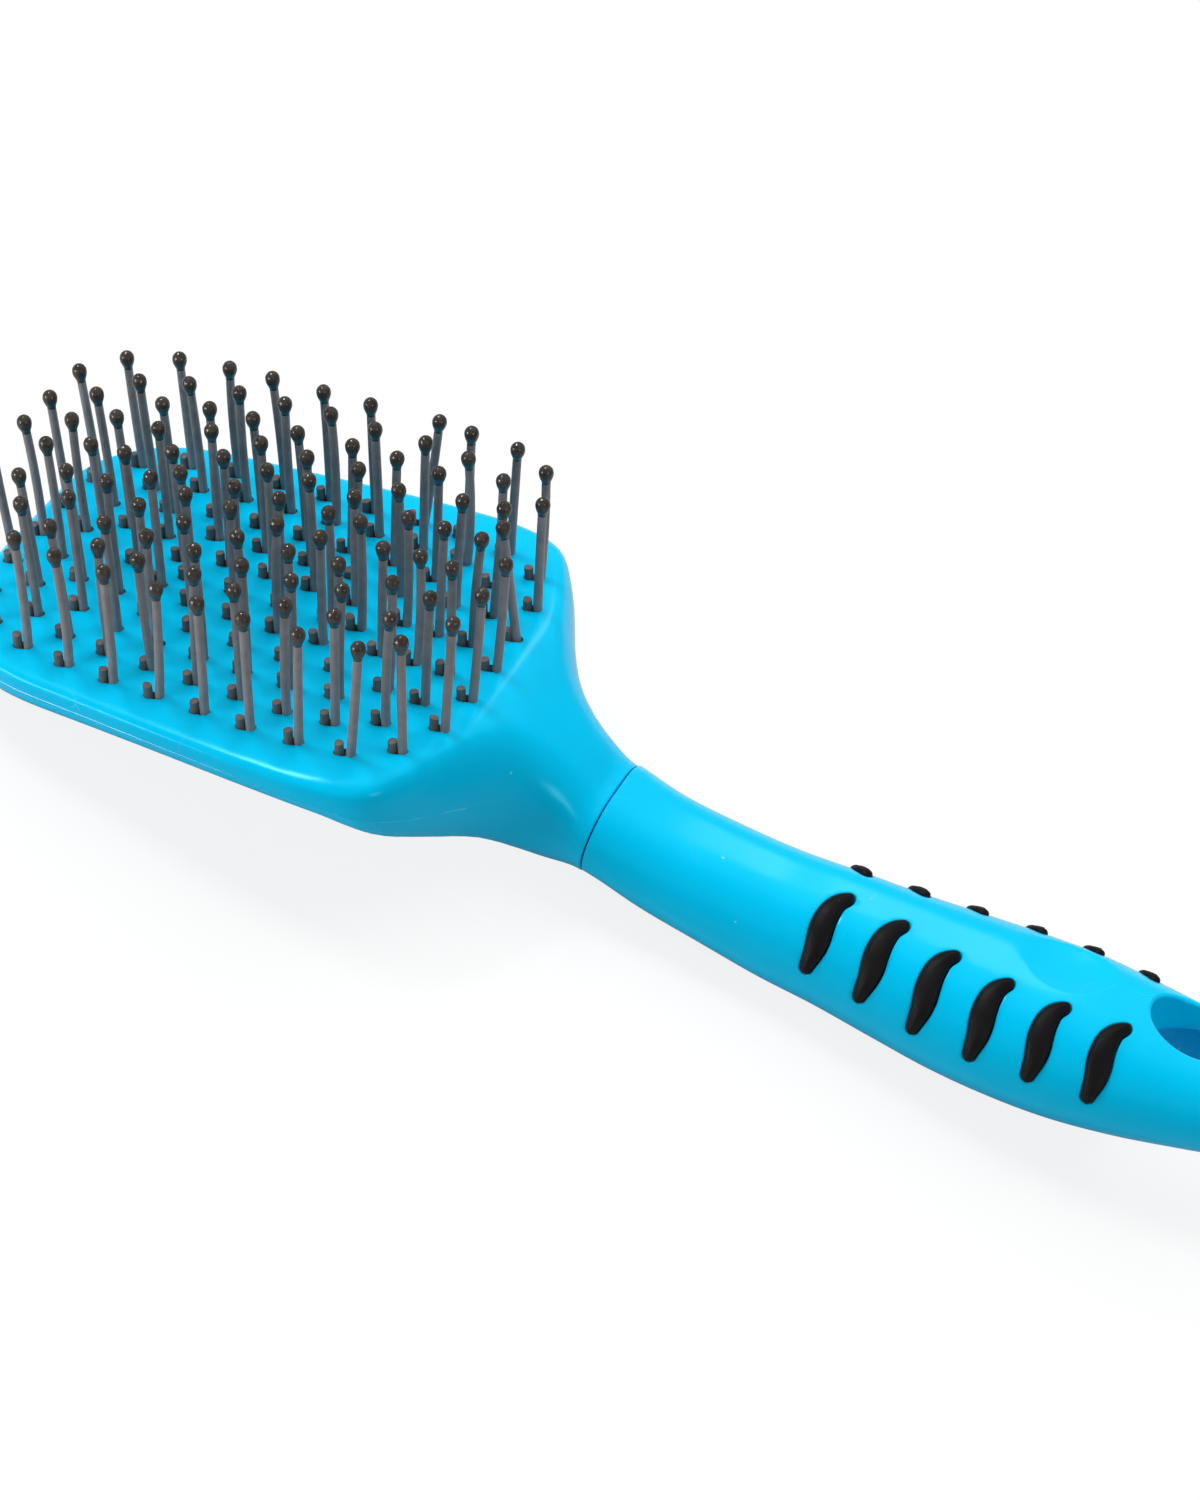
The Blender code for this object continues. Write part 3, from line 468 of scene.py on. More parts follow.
def read_sizes(context):
    """All sizes of the scene's property groups, as plain values."""
    values = {}
    for group_name, group_class in SIZE_GROUPS.items():
        group = getattr(context.scene, group_name)
        for name in group_class.__annotations__:
            values[name] = getattr(group, name)
    return SimpleNamespace(**values)


def share_between(value, start, end):
    """How far a value has come from start to end, held between 0 and 1."""
    return min(max((value - start) / (end - start), 0.0), 1.0)


def read_rows(rows, place):
    """Read every column of a table at a place, along a smooth curve through its rows."""
    last = len(rows) - 2
    step = 0
    while step < last and place > rows[step + 1][0]:
        step += 1
    before = rows[max(step - 1, 0)]
    start = rows[step]
    end = rows[step + 1]
    after = rows[min(step + 2, last + 1)]
    span = end[0] - start[0]
    share = share_between(place, start[0], end[0])
    values = []
    for column in range(1, len(start)):
        slope_start = (end[column] - before[column]) / (end[0] - before[0]) * span
        slope_end = (after[column] - start[column]) / (after[0] - start[0]) * span
        values.append(
            (2 * share**3 - 3 * share**2 + 1) * start[column]
            + (share**3 - 2 * share**2 + share) * slope_start
            + (3 * share**2 - 2 * share**3) * end[column]
            + (share**3 - share**2) * slope_end
        )
    return values


def rounded_end(distance, reach, power=2.0):
    """Share of the full size left at a distance from a rounded end; 2 is an ellipse."""
    if distance >= reach:
        return 1.0
    share = 1.0 - max(distance, LEAST_END_DISTANCE) / reach
    return (1.0 - share**power) ** (1.0 / power)


def head_section(sizes, x):
    """Half width, top, parting line, underside and squareness of the head at x."""
    half, top, parting, bottom, upper, lower = read_rows(HEAD_ROW_SHARES, -x / sizes.head_length)
    to_tip = sizes.head_length + x
    half *= sizes.head_width / 2 * rounded_end(to_tip, sizes.tip_corner, TIP_CORNER_POWER)
    edge = rounded_end(to_tip, sizes.tip_edge)
    parting *= -sizes.neck_drop
    top = parting + (-top * sizes.neck_drop - parting) * edge
    bottom = parting + (-bottom * sizes.neck_drop - parting) * edge
    return half, top, parting, bottom, upper, lower


def handle_section(sizes, x):
    """Half width, top, parting line, underside and squareness of the handle at x."""
    drop, half, depth, square = read_rows(HANDLE_ROW_SHARES, x / sizes.handle_length)
    to_butt = sizes.handle_length - x
    half *= sizes.grip_width / 2 * rounded_end(to_butt, sizes.butt_corner, BUTT_CORNER_POWER)
    depth *= sizes.grip_depth / 2 * rounded_end(to_butt, sizes.butt_edge)
    centre = -sizes.neck_drop - drop * sizes.grip_drop
    return half, centre + depth, centre, centre - depth, square, square


def ring_samples():
    """Side, half and place of every point of a ring, once round the body."""
    upper = [*FLASH_STEPS]
    upper += [1 + step / FLANK_STEPS for step in range(1, FLANK_STEPS + 1)]
    upper += [2 + step / CROWN_STEPS for step in range(1, CROWN_STEPS + 1)]
    lower = [*FLASH_STEPS[1:]]
    lower += [1 + step / BELLY_STEPS for step in range(1, BELLY_STEPS + 1)]
    samples = [(1, "upper", place) for place in upper]
    samples += [(-1, "upper", place) for place in reversed(upper[:-1])]
    samples += [(-1, "lower", place) for place in lower]
    samples += [(1, "lower", place) for place in reversed(lower[:-1])]
    return samples


def crown_rise(height):
    """Rise of the upper half, running softly out into its flat crown."""
    crown = sin(FLAT_CROWN_ANGLE)
    start = 2 * crown - 1
    if height < start:
        return height / crown
    return 1 - (1 - height) ** 2 / (2 * crown * (1 - start))


def section_point(sizes, section, grow, sample):
    """Place across and height of one point of a ring, grown outwards by a distance."""
    half, top, parting, bottom, upper, lower = section
    side, where, place = sample
    half += grow
    rise = top + grow - parting if where == "upper" else bottom - grow - parting
    power = upper if where == "upper" else lower
    turn_share = 1.0
    if where == "upper":
        turn_share -= sizes.rim_sharpness * share_between(power, *RIM_POWERS)
    flash_share = min(sizes.flash_width / max(abs(rise), sizes.flash_width), FLASH_MOST_SHARE)
    flash_share /= FLASH_STEPS[2]
    flash_end = asin(flash_share ** (1 / turn_share))
    out = 0.0
    if place <= 1:
        angle = asin((flash_share * place) ** (1 / turn_share))
        shown = share_between(half, *FLASH_FADE)
        out = sizes.flash_height * shown * max(1 - place / FLASH_STEPS[2], 0.0)
    elif where == "lower":
        angle = flash_end + (pi / 2 - flash_end) * (place - 1)
    elif place <= 2:
        angle = flash_end + (CROWN_START_ANGLE - flash_end) * (place - 1)
    else:
        share = cos(CROWN_START_ANGLE) ** (2 / power) * (3 - place)
        angle = acos(share ** (power / 2))
    across = half * max(cos(angle), 0.0) ** (2 / power) + out
    height = sin(angle) ** turn_share
    if where == "upper":
        height = crown_rise(height)
    return side * across, parting + rise * height


def body_ring(sizes, section, x, grow, lean):
    """Ring of points round a body at x; near the neck joint it leans with the joint."""
    points = []
    flat = section(sizes, x)
    for sample in ring_samples():
        y, z = section_point(sizes, flat, grow, sample)
        place = x
        if lean:
            for _ in range(LEAN_PASSES):
                place = x + (z + sizes.neck_drop) * tan(sizes.seam_lean) * lean
                y, z = section_point(sizes, section(sizes, place), grow, sample)
        points.append(Vector((place, y, z)))
    return points


def seam_lean_at(sizes, x):
    """How much of the neck joint's lean a ring at x takes."""
    share = min(abs(x) / (sizes.neck_drop * LEAN_FADE_SHARE), 1.0)
    return (1 - share) ** 2 * (1 + 2 * share)


def bridge_rings(form, rings, cap_last=True):
    """Join rings of vertices into a skin, closed at the first and, if wanted, at the last."""
    count = len(rings[0])
    for near, far in zip(rings, rings[1:]):
        for index in range(count):
            following = (index + 1) % count
            form.faces.new((near[index], near[following], far[following], far[index]))
    form.faces.new(rings[0])
    if cap_last:
        form.faces.new(rings[-1])


def end_places(total, corner, stations):
    """Stations from the neck joint to a rounded end, closer together towards the end."""
    steps, power = stations
    straight = total - corner
    count = round(straight / STATION_PITCH)
    places = [straight * step / count for step in range(1, count + 1)]
    places += [total - corner * (1 - step / steps) ** power for step in range(1, steps)]
    return [*places, *(total - setback for setback in LAST_SETBACKS)]


def lip_rings(sizes, section, side):
    """Rings of the rounded edge at the neck joint, from the joint's face outwards."""
    rings = []
    for step in range(LIP_STEPS + 1):
        angle = pi / 2 * (1 - step / LIP_STEPS)
        inset = sizes.seam_lip * (1 - cos(angle))
        setback = FIT_GAP / 2 + sizes.seam_lip * (1 - sin(angle))
        rings.append(body_ring(sizes, section, side * setback, -inset, 1.0))
    return rings


def tang_ring(sizes, ring, along, clearance, shrink):
    """Ring round the tang's outline, point for point with the joint's own ring."""
    place = (
        Matrix.Translation((0, 0, -sizes.neck_drop))
        @ Matrix.Rotation(sizes.tang_lean, 4, "Y")
        @ Matrix.Translation((along, 0, 0))
    )
    points = []
    for point in ring:
        angle = atan2(point.z + sizes.neck_drop, point.y)
        y = cos(angle) * (sizes.tang_width / 2 + clearance) * shrink
        z = sin(angle) * (sizes.tang_depth / 2 + clearance) * shrink
        points.append(place @ Vector((0, y, z)))
    return points


def moulded_body(sizes, section, side, places, clearance):
    """Closed body of the head or the handle, with its joint face and its peg or socket."""
    lips = lip_rings(sizes, section, side)
    joint = lips[0]
    end = sizes.tang_length + clearance
    rings = [
        tang_ring(sizes, joint, end, clearance, TANG_END_SHARE),
        tang_ring(sizes, joint, end - TANG_END_LENGTH, clearance, 1.0),
        tang_ring(sizes, joint, side * TANG_FOOT_LENGTH, clearance, 1.0),
        *lips,
    ]
    for place in places:
        if place > sizes.seam_lip * LIP_CLEAR_SHARE:
            x = side * place
            rings.append(body_ring(sizes, section, x, 0.0, seam_lean_at(sizes, x)))
    form = bmesh.new()
    bridge_rings(form, [[form.verts.new(point) for point in ring] for ring in rings])
    # Faces of the head's moulding line take its lighter finish, which also paints a highlight on
    # it.
    on_flash = [side < 0 and place <= FLASH_STEPS[2] for _, _, place in ring_samples()]
    for number, face in enumerate(form.faces):
        index = number % len(on_flash)
        wide = abs(face.calc_center_median().y) > FLASH_FADE[1]
        if on_flash[index] and on_flash[(index + 1) % len(on_flash)] and wide:
            face.material_index = FLASH_AND_HIGHLIGHT_FINISH
    bmesh.ops.recalc_face_normals(form, faces=form.faces)
    return form


def rest_place(sizes):
    """Matrix that lays the brush on its back, on its free end and its pad."""
    tip_x = -REST_TIP_SHARE * sizes.head_length
    pad_x = sizes.pad_to_seam + REST_PAD_SHARE * sizes.pad_length
    tip_z = head_section(sizes, tip_x)[3]
    pad_z = handle_section(sizes, pad_x)[3] - sizes.pad_proud
    tilt = atan2(pad_z - tip_z, pad_x - tip_x)
    touching = Matrix.Rotation(tilt, 3, "Y") @ Vector((pad_x, 0, pad_z))
    place = Vector((0, 0, -REST_FLAT_DEPTH)) - touching
    return Matrix.Translation(place) @ Matrix.Rotation(tilt, 4, "Y")


def add_object(name, form, materials=()):
    """Turn a bmesh into a linked object."""
    mesh = bpy.data.meshes.new(name)
    form.to_mesh(mesh)
    form.free()
    for material in materials:
        mesh.materials.append(material)
    piece = bpy.data.objects.new(name, mesh)
    bpy.context.scene.collection.objects.link(piece)
    return piece


def bake_modifiers(piece):
    """Replace a piece's mesh by what its modifiers make of it."""
    graph = bpy.context.evaluated_depsgraph_get()
    mesh = bpy.data.meshes.new_from_object(piece.evaluated_get(graph))
    piece.modifiers.clear()
    old = piece.data
    piece.data = mesh
    bpy.data.meshes.remove(old)
    mesh.name = piece.name


def cut_away(piece, cutters):
    """Take the cutters' forms out of a piece."""
    for cutter in cutters:
        modifier = piece.modifiers.new(cutter.name, "BOOLEAN")
        modifier.operation = "DIFFERENCE"
        modifier.object = cutter
        modifier.solver = "EXACT"
    bake_modifiers(piece)
    for cutter in cutters:
        bpy.data.objects.remove(cutter, do_unlink=True)


def settle(piece, sizes, sharp_angle):
    """Lay a piece down in the world, flatten what touches the floor and smooth its shading."""
    piece.data.transform(rest_place(sizes))
    for vertex in piece.data.vertices:
        vertex.co.z = max(vertex.co.z, 0.0)
    piece.data.shade_smooth()
    piece.data.set_sharp_from_angle(angle=sharp_angle)


def even_shading(piece):
    """Let the large faces lead the shading beside cut edges."""
    modifier = piece.modifiers.new("even_shading", "WEIGHTED_NORMAL")
    modifier.keep_sharp = True
    modifier.weight = LARGE_FACE_WEIGHT
    bake_modifiers(piece)


def hand_over(piece, slot, *nodes):
    """Hang a piece on the body that it rides on and hide the solids that it stands for; its finish
    is not used.
    """
    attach(piece, BODY)
    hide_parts(*nodes)


def field_point(sizes, inset, angle):
    """Point of the pin field's outline drawn in by an inset."""
    half_length = sizes.field_length / 2 - inset
    half_width = max(sizes.field_width / 2 - inset, 0.0)
    power = 2 / sizes.field_power
    along = copysign(abs(cos(angle)) ** power, cos(angle)) * half_length
    across = copysign(abs(sin(angle)) ** power, sin(angle)) * half_width
    taper = 1 - sizes.field_taper * (1 - along / (sizes.field_length / 2))
    return Vector((along - sizes.field_to_seam - sizes.field_length / 2, across * taper, 0))


def ring_feet(sizes, inset, count, phase):
    """Feet spaced evenly along one ring, from the neck end on."""
    steps = FIELD_PATH_STEPS
    path = [field_point(sizes, inset, 2 * pi * step / steps) for step in range(steps + 1)]
    travel = [0.0]
    for start, end in zip(path, path[1:]):
        travel.append(travel[-1] + (end - start).length)
    feet = []
    for index in range(count):
        target = travel[-1] * (index + phase) / count
        step = next(i for i in range(steps) if travel[i + 1] >= target)
        part = (target - travel[step]) / (travel[step + 1] - travel[step])
        feet.append(path[step].lerp(path[step + 1], part))
    return feet


def pin_rows(sizes):
    """Name and feet of every row of pins."""
    rows = []
    for number, (phase, *lengths) in enumerate(RING_ROWS):
        count = sum(lengths)
        feet = ring_feet(sizes, number * sizes.ring_pitch, count, phase)
        start = -(lengths[0] // 2)
        for side, row_length in zip(ROW_SIDES, lengths):
            row = [feet[index % count] for index in range(start, start + row_length)]
            if row:
                rows.append((f"pin_row_{number + 1}_{side}", row))
            start += row_length
    middle = -sizes.field_to_seam - sizes.field_length / 2 - sizes.axis_setback
    places = [middle + (i - (AXIS_COUNT - 1) / 2) * sizes.axis_pitch for i in range(AXIS_COUNT)]
    rows.append((f"pin_row_{len(RING_ROWS) + 1}", [Vector((x, 0, 0)) for x in places]))
    return rows


def fold_offset(sizes):
    """Step from a pin's long leg to its cut one."""
    angle = sizes.fold_turn
    return Vector((-cos(angle) * sizes.fold_width, -sin(angle) * sizes.fold_width, 0))


def add_turned(form, centres, radii, finish_from, finish, slant=(0.0, 0.0)):
    """Add a closed turned form through a list of centres, its top cut at a slant.

    From the ring numbered finish_from on, its faces take the material numbered finish.
    """
    rings = []
    last = len(centres) - 1
    for index, (centre, radius) in enumerate(zip(centres, radii)):
        axis = (centres[min(index + 1, last)] - centres[max(index - 1, 0)]).normalized()
        across = axis.cross(Vector((0, 1, 0))).normalized()
        other = axis.cross(across)
        ring = []
        for step in range(PIN_SIDES):
            angle = 2 * pi * step / PIN_SIDES
            out = across * cos(angle) + other * sin(angle)
            point = centre + out * radius
            if index >= last - 1:
                point.z += slant[0] * (point.x - centre.x) + slant[1] * (point.y - centre.y)
            ring.append(form.verts.new(point))
        rings.append(ring)
    before = len(form.faces)
    bridge_rings(form, rings)
    form.faces.ensure_lookup_table()
    for face_number in range(before, len(form.faces)):
        face = form.faces[face_number]
        ring_number = (face_number - before) // PIN_SIDES
        is_root_cap = face_number == len(form.faces) - 2
        if ring_number >= finish_from and not is_root_cap:
            face.material_index = finish


def add_long_leg(form, sizes, foot, dice, lean_share):
    """Add the long leg of one folded pin, bent a little, with its ball tip."""
    along = (foot.x + sizes.field_to_seam + sizes.field_length / 2) / (sizes.field_length / 2)
    stray = Vector((dice.gauss(0, 1), dice.gauss(0, 1), 0)) * sizes.pin_stray
    lean = Vector((sizes.pin_splay * along, 0, 0)) + stray
    if lean_share is not None:
        lean = Vector((sizes.pin_height * lean_share, 0, 0)) + stray * LEANING_STRAY_SHARE
    top = foot + lean + Vector((0, 0, sizes.pin_height + sizes.ball_length * BALL_MIDDLE_SHARE))
    root = foot - Vector((0, 0, sizes.pin_root))
    bow = Vector((dice.gauss(0, 1), dice.gauss(0, 1), 0)) * sizes.pin_bow
    rise = (top - root).length
    face_share = sizes.pin_root / rise
    length_shown = 1 - sizes.ball_length / rise - face_share
    shares = [0.0, face_share]
    shares += [face_share + length_shown * step / LEG_STEPS for step in range(1, LEG_STEPS + 1)]
    taper = (sizes.pin_neck - sizes.pin_width) / 2
    radii = [sizes.pin_width / 2 + taper * share for share in shares]
    neck_ring = len(shares) - 1
    for below, wide in reversed(BALL_ROW_SHARES):
        shares.append(1 - below * sizes.ball_length / rise)
        radii.append(wide * sizes.ball_width / 2)
    centres = [root.lerp(top, share) + bow * 4 * share * (1 - share) for share in shares]
    add_turned(form, centres, radii, neck_ring, BALL_FINISH)


def add_cut_leg(form, sizes, foot, dice):
    """Add the cut leg of one folded pin, beside its long leg and in the same hole."""
    root = foot - Vector((0, 0, sizes.pin_root))
    stub_foot = foot + fold_offset(sizes)
    height = sizes.stub_height * (1 + STUB_SPREAD_SHARE * dice.gauss(0, 1))
    stub_top = stub_foot + Vector((dice.gauss(0, 1), dice.gauss(0, 1), 0)) * STUB_TOP_STRAY
    stub_top.z += height
    radius = sizes.stub_width / 2
    edge = Vector((0, 0, radius * STUB_EDGE_SHARE))
    centres = [root + fold_offset(sizes), stub_foot]
    centres += [stub_top - edge * below for below, _ in STUB_ROW_SHARES]
    radii = [radius, radius, *(radius * share for _, share in STUB_ROW_SHARES)]
    slant = (dice.gauss(0, STUB_SLANT), dice.gauss(0, STUB_SLANT))
    # The whole cut leg takes the darker finish: its bruised cut end, and painted shade of the long
    # leg beside it.
    add_turned(form, centres, radii, 0, CUT_AND_SHADE_FINISH, slant)


def pin_holes(sizes, rows):
    """Slots through the pin face, one round each folded pin."""
    form = bmesh.new()
    half_width = sizes.pin_width / 2 + sizes.hole_gap
    turned = Matrix.Rotation(sizes.fold_turn, 3, "Z")
    for _, feet in rows:
        for foot in feet:
            middle = foot + fold_offset(sizes) / 2
            outline = []
            for step in range(PIN_HOLE_SIDES):
                angle = 2 * pi * (step + 0.5) / PIN_HOLE_SIDES
                along = copysign(sizes.fold_width / 2, cos(angle)) + half_width * cos(angle)
                outline.append(turned @ Vector((along, half_width * sin(angle), 0)))
            rings = []
            for z in (-sizes.pin_root, PIN_HOLE_CLEAR):
                rings.append([
                    form.verts.new(middle + point + Vector((0, 0, z))) for point in outline
                ])
            bridge_rings(form, rings)
    bmesh.ops.recalc_face_normals(form, faces=form.faces)
    return add_object("pin_holes", form)


def handle_slope(sizes, x):
    """Lean of the handle's centre line at x."""
    step = sizes.handle_length / SLOPE_PARTS
    rise = handle_section(sizes, x + step)[2] - handle_section(sizes, x - step)[2]
    return atan2(rise, 2 * step)


def along_handle(sizes, x):
    """Frame on the handle's centre line at x, with its X along the handle."""
    centre = Vector((x, 0, handle_section(sizes, x)[2]))
    return Matrix.Translation(centre) @ Matrix.Rotation(-handle_slope(sizes, x), 4, "Y")


def along_grip(sizes, x):
    """Frame on the handle's centre line at x, rolled as the grip's ribs are."""
    return along_handle(sizes, x) @ Matrix.Rotation(-sizes.grip_roll, 4, "X")


def press_dish(sizes, form):
    """Press the shallow thumb dish into the handle's crown."""
    x = sizes.handle_length - sizes.dish_to_butt
    section = handle_section(sizes, x)
    place = (
        along_grip(sizes, x)
        @ Matrix.Translation((0, 0, section[1] - section[2]))
        @ Matrix.Rotation(-sizes.dish_lean, 4, "Y")
    )
    back = place.inverted()
    for vertex in form.verts:
        spot = back @ vertex.co
        reach = (2 * spot.x / sizes.dish_length) ** 2 + (2 * spot.y / sizes.dish_width) ** 2
        if reach < DISH_REACH and spot.z > -sizes.grip_depth / 2:
            floor = -sizes.dish_depth * (1 - reach)
            blend = min(max(0.5 + (spot.z - floor) / (2 * sizes.dish_edge), 0.0), 1.0)
            spot.z += (floor - spot.z) * blend - sizes.dish_edge * blend * (1 - blend)
            vertex.co = place @ spot


def handle_form(sizes):
    """The handle's body before its pockets and its hole are cut."""
    places = end_places(sizes.handle_length, sizes.butt_corner, BUTT_STATIONS)
    middle = sizes.handle_length - sizes.dish_to_butt
    fine = []
    for start, end in zip(places, places[1:]):
        near_dish = abs(start - middle) < sizes.dish_length * DISH_FINE_SHARE
        parts = DISH_STATIONS if near_dish else 1
        fine += [start + (end - start) * part / parts for part in range(parts)]
    form = moulded_body(sizes, handle_section, 1, [*fine, places[-1]], FIT_GAP)
    press_dish(sizes, form)
    return form


def handle_skin(sizes):
    """Search tree of the handle's skin before anything is cut into it."""
    form = handle_form(sizes)
    skin = BVHTree.FromBMesh(form)
    form.free()
    return skin


def drop_on(skin, start, direction, height):
    """Point at a height over the skin where a line from outside meets it."""
    hit, normal, _, _ = skin.ray_cast(start, direction)
    if hit is None:
        raise RuntimeError("a line from outside missed the handle")
    return hit + normal * height


def rib_line(sizes, number, grow):
    """Left and right edge of one rib in its own plane, drawn out or in by a distance."""
    own_length = sizes.rib_length * RIB_PLACE_SHARES[number][1]
    spine = []
    for step in range(RIB_LINE_STEPS + 1):
        share = 0.5 - 0.5 * cos(pi * step / RIB_LINE_STEPS)
        across, up, half = read_rows(RIB_SPINE_SHARES, share)
        cap = rounded_end(min(share, 1 - share), RIB_CAP_SHARE)
        width = max((half * sizes.rib_width + grow) * cap, LEAST_WIDTH)
        spine.append((Vector((across * sizes.rib_hook, up * own_length)), width, share))
    left = []
    right = []
    for index, (point, width, share) in enumerate(spine):
        ahead = spine[min(index + 1, RIB_LINE_STEPS)][0]
        behind = spine[max(index - 1, 0)][0]
        run = (ahead - behind).normalized()
        into_cap = max(1 - min(share, 1 - share) / RIB_CAP_SHARE, 0.0)
        middle = point + run * grow * copysign(into_cap, share - 0.5)
        side = Vector((run.y, -run.x)) * width
        left.append(middle - side)
        right.append(middle + side)
    return left, right


def rib_point(sizes, skin, number, side, flat, height):
    """Point of a rib's plane dropped on the handle's flank, at a height over it."""
    place = along_grip(sizes, sizes.rib_to_seam + number * sizes.rib_pitch)
    rise, _, shift = RIB_PLACE_SHARES[number]
    across = flat.x + shift * sizes.rib_width
    up = flat.y + rise * sizes.rib_length - (sizes.rib_far_drop if side > 0 else 0.0)
    depth = sizes.grip_width
    y = side * (cos(sizes.rib_lift) * depth - sin(sizes.rib_lift) * up)
    z = sin(sizes.rib_lift) * depth + cos(sizes.rib_lift) * up
    inward = Vector((0, -side * cos(sizes.rib_lift), -sin(sizes.rib_lift)))
    start = place @ Vector((across, y, z))
    return drop_on(skin, start, place.to_3x3() @ inward, height)


def rib_skin(sizes, skin, number, side, steps, middles):
    """Closed form of a rib or of its pocket, from rings of (grow, height)."""
    form = bmesh.new()
    rings = []
    for grow, height in steps:
        left, right = rib_line(sizes, number, grow)
        outline = left + right[::-1]
        rings.append([
            form.verts.new(rib_point(sizes, skin, number, side, flat, height)) for flat in outline
        ])
    bridge_rings(form, rings, cap_last=False)
    left, right = rib_line(sizes, number, steps[-1][0])
    lanes = [rings[-1][: len(left)]]
    for share, height in middles:
        lane = []
        for start, end in zip(left, right):
            flat = start.lerp(end, share)
            lane.append(form.verts.new(rib_point(sizes, skin, number, side, flat, height)))
        lanes.append(lane)
    lanes.append(rings[-1][len(left):][::-1])
    for near, far in zip(lanes, lanes[1:]):
        for index in range(len(left) - 1):
            form.faces.new((near[index], near[index + 1], far[index + 1], far[index]))
    first = [lane[0] for lane in lanes]
    last = [lane[-1] for lane in lanes]
    form.faces.new(first)
    form.faces.new(last)
    bmesh.ops.recalc_face_normals(form, faces=form.faces)
    return form


def rib_form(sizes, skin, number, side):
    """One grip rib with its rounded shoulders and crowned back."""
    steps = [(0.0, -sizes.pocket_depth), (0.0, -RIB_SHOULDER_DEPTH)]
    for step in range(1, RIB_SHOULDER_STEPS + 1):
        angle = pi / 2 * step / RIB_SHOULDER_STEPS
        inset = sizes.rib_round * (1 - cos(angle))
        steps.append((-inset, sizes.rib_proud * sin(angle)))
    middles = [(share, sizes.rib_proud * rise) for share, rise in RIB_BACK_SHARES]
    return rib_skin(sizes, skin, number, side, steps, middles)


def pocket_form(sizes, skin, number, side):
    """Cutter for the pocket of one rib, flared at the handle's skin."""
    gap = sizes.pocket_gap
    lip = sizes.pocket_lip
    steps = [(gap, -sizes.pocket_depth), (gap, -lip)]
    for step in range(1, POCKET_LIP_STEPS + 1):
        angle = POCKET_LIP_ANGLE * step / POCKET_LIP_STEPS
        steps.append((gap + lip * (1 - cos(angle)), -lip * (1 - sin(angle))))
    out, rise = POCKET_FLARE_SHARES
    clear = sizes.grip_width * POCKET_CLEAR_SHARE
    steps += [(gap + lip * out, lip * rise), (gap + lip * out, clear)]
    return rib_skin(sizes, skin, number, side, steps, ((0.5, clear),))


def oval_points(oval, grow):
    """Places along and across of the points of an oval, grown outwards by a distance."""
    along, across, half_length, half_width = oval
    points = []
    for index in range(OVAL_SIDES):
        angle = 2 * pi * index / OVAL_SIDES
        x = along + cos(angle) * (half_length + grow)
        points.append((x, across + sin(angle) * (half_width + grow)))
    return points


def oval_rings(sizes, skin, place, oval, steps, downward):
    """Rings on an oval, each grown and set at a height over the skin."""
    inward = Vector((0, 0, -1 if downward else 1))
    rings = []
    for grow, height in steps:
        ring = []
        for x, y in oval_points(oval, grow):
            start = place @ (Vector((x, y, 0)) - inward * sizes.grip_width)
            ring.append(drop_on(skin, start, place.to_3x3() @ inward, height))
        rings.append(ring)
    return rings


def hole_form(sizes, skin):
    """Cutter for the hang hole: rounded at both skins, wider below its step."""
    place = along_grip(sizes, sizes.handle_length - sizes.hole_to_butt)
    oval = (-sizes.hole_setback, sizes.hole_shift, sizes.hole_length / 2, sizes.hole_width / 2)
    rim = sizes.hole_rim
    steps = [(rim * out, rim * rise) for out, rise in HOLE_FLARE_SHARES]
    for degrees in HOLE_RIM_ANGLES:
        angle = radians(degrees)
        steps.append((rim * (1 - sin(angle)), -rim * (1 - cos(angle))))
    over = oval_rings(sizes, skin, place, oval, steps, True)
    insets = HOLE_WAIST_INSETS
    waisted = (-sizes.hole_setback, sizes.hole_shift / 2, oval[2] - insets[0], oval[3] - insets[1])
    wider = [(grow + sizes.hole_draft, height) for grow, height in steps]
    under = oval_rings(sizes, skin, place, waisted, wider, False)
    waist = []
    for height, grow, draft_share in HOLE_STEP_ROWS:
        z = sizes.hole_step + height
        points = oval_points(waisted, grow + sizes.hole_draft * draft_share)
        waist.append([place @ Vector((x, y, z)) for x, y in points])
    form = bmesh.new()
    clear = place.to_3x3() @ Vector((0, 0, sizes.grip_depth / 2))
    over.insert(0, [point + clear for point in over[0]])
    under.insert(0, [point - clear for point in under[0]])
    rings = [*over, *waist, *reversed(under)]
    bridge_rings(form, [[form.verts.new(point) for point in ring] for ring in rings])
    bmesh.ops.recalc_face_normals(form, faces=form.faces)
    return form


def pad_form(sizes, skin, grow, steps):
    """Closed oval form under the handle, from rings of (inset, height, share of the ridges)."""
    place = along_handle(sizes, sizes.pad_to_seam)
    inward = place.to_3x3() @ Vector((0, 0, 1))
    oval = (0.0, 0.0, sizes.pad_length / 2 + grow, sizes.pad_width / 2 + grow)
    form = bmesh.new()
    rings = []
    for inset, height, ridge_share in steps:
        ring = []
        for x, y in oval_points(oval, -inset):
            wave = ridge_share * sizes.pad_ridge * cos(2 * pi * x / PAD_RIDGE_PITCH)
            start = place @ Vector((x, y, -sizes.grip_width))
            ring.append(form.verts.new(drop_on(skin, start, inward, height + wave)))
        rings.append(ring)
    bridge_rings(form, rings)
    bmesh.ops.recalc_face_normals(form, faces=form.faces)
    return form


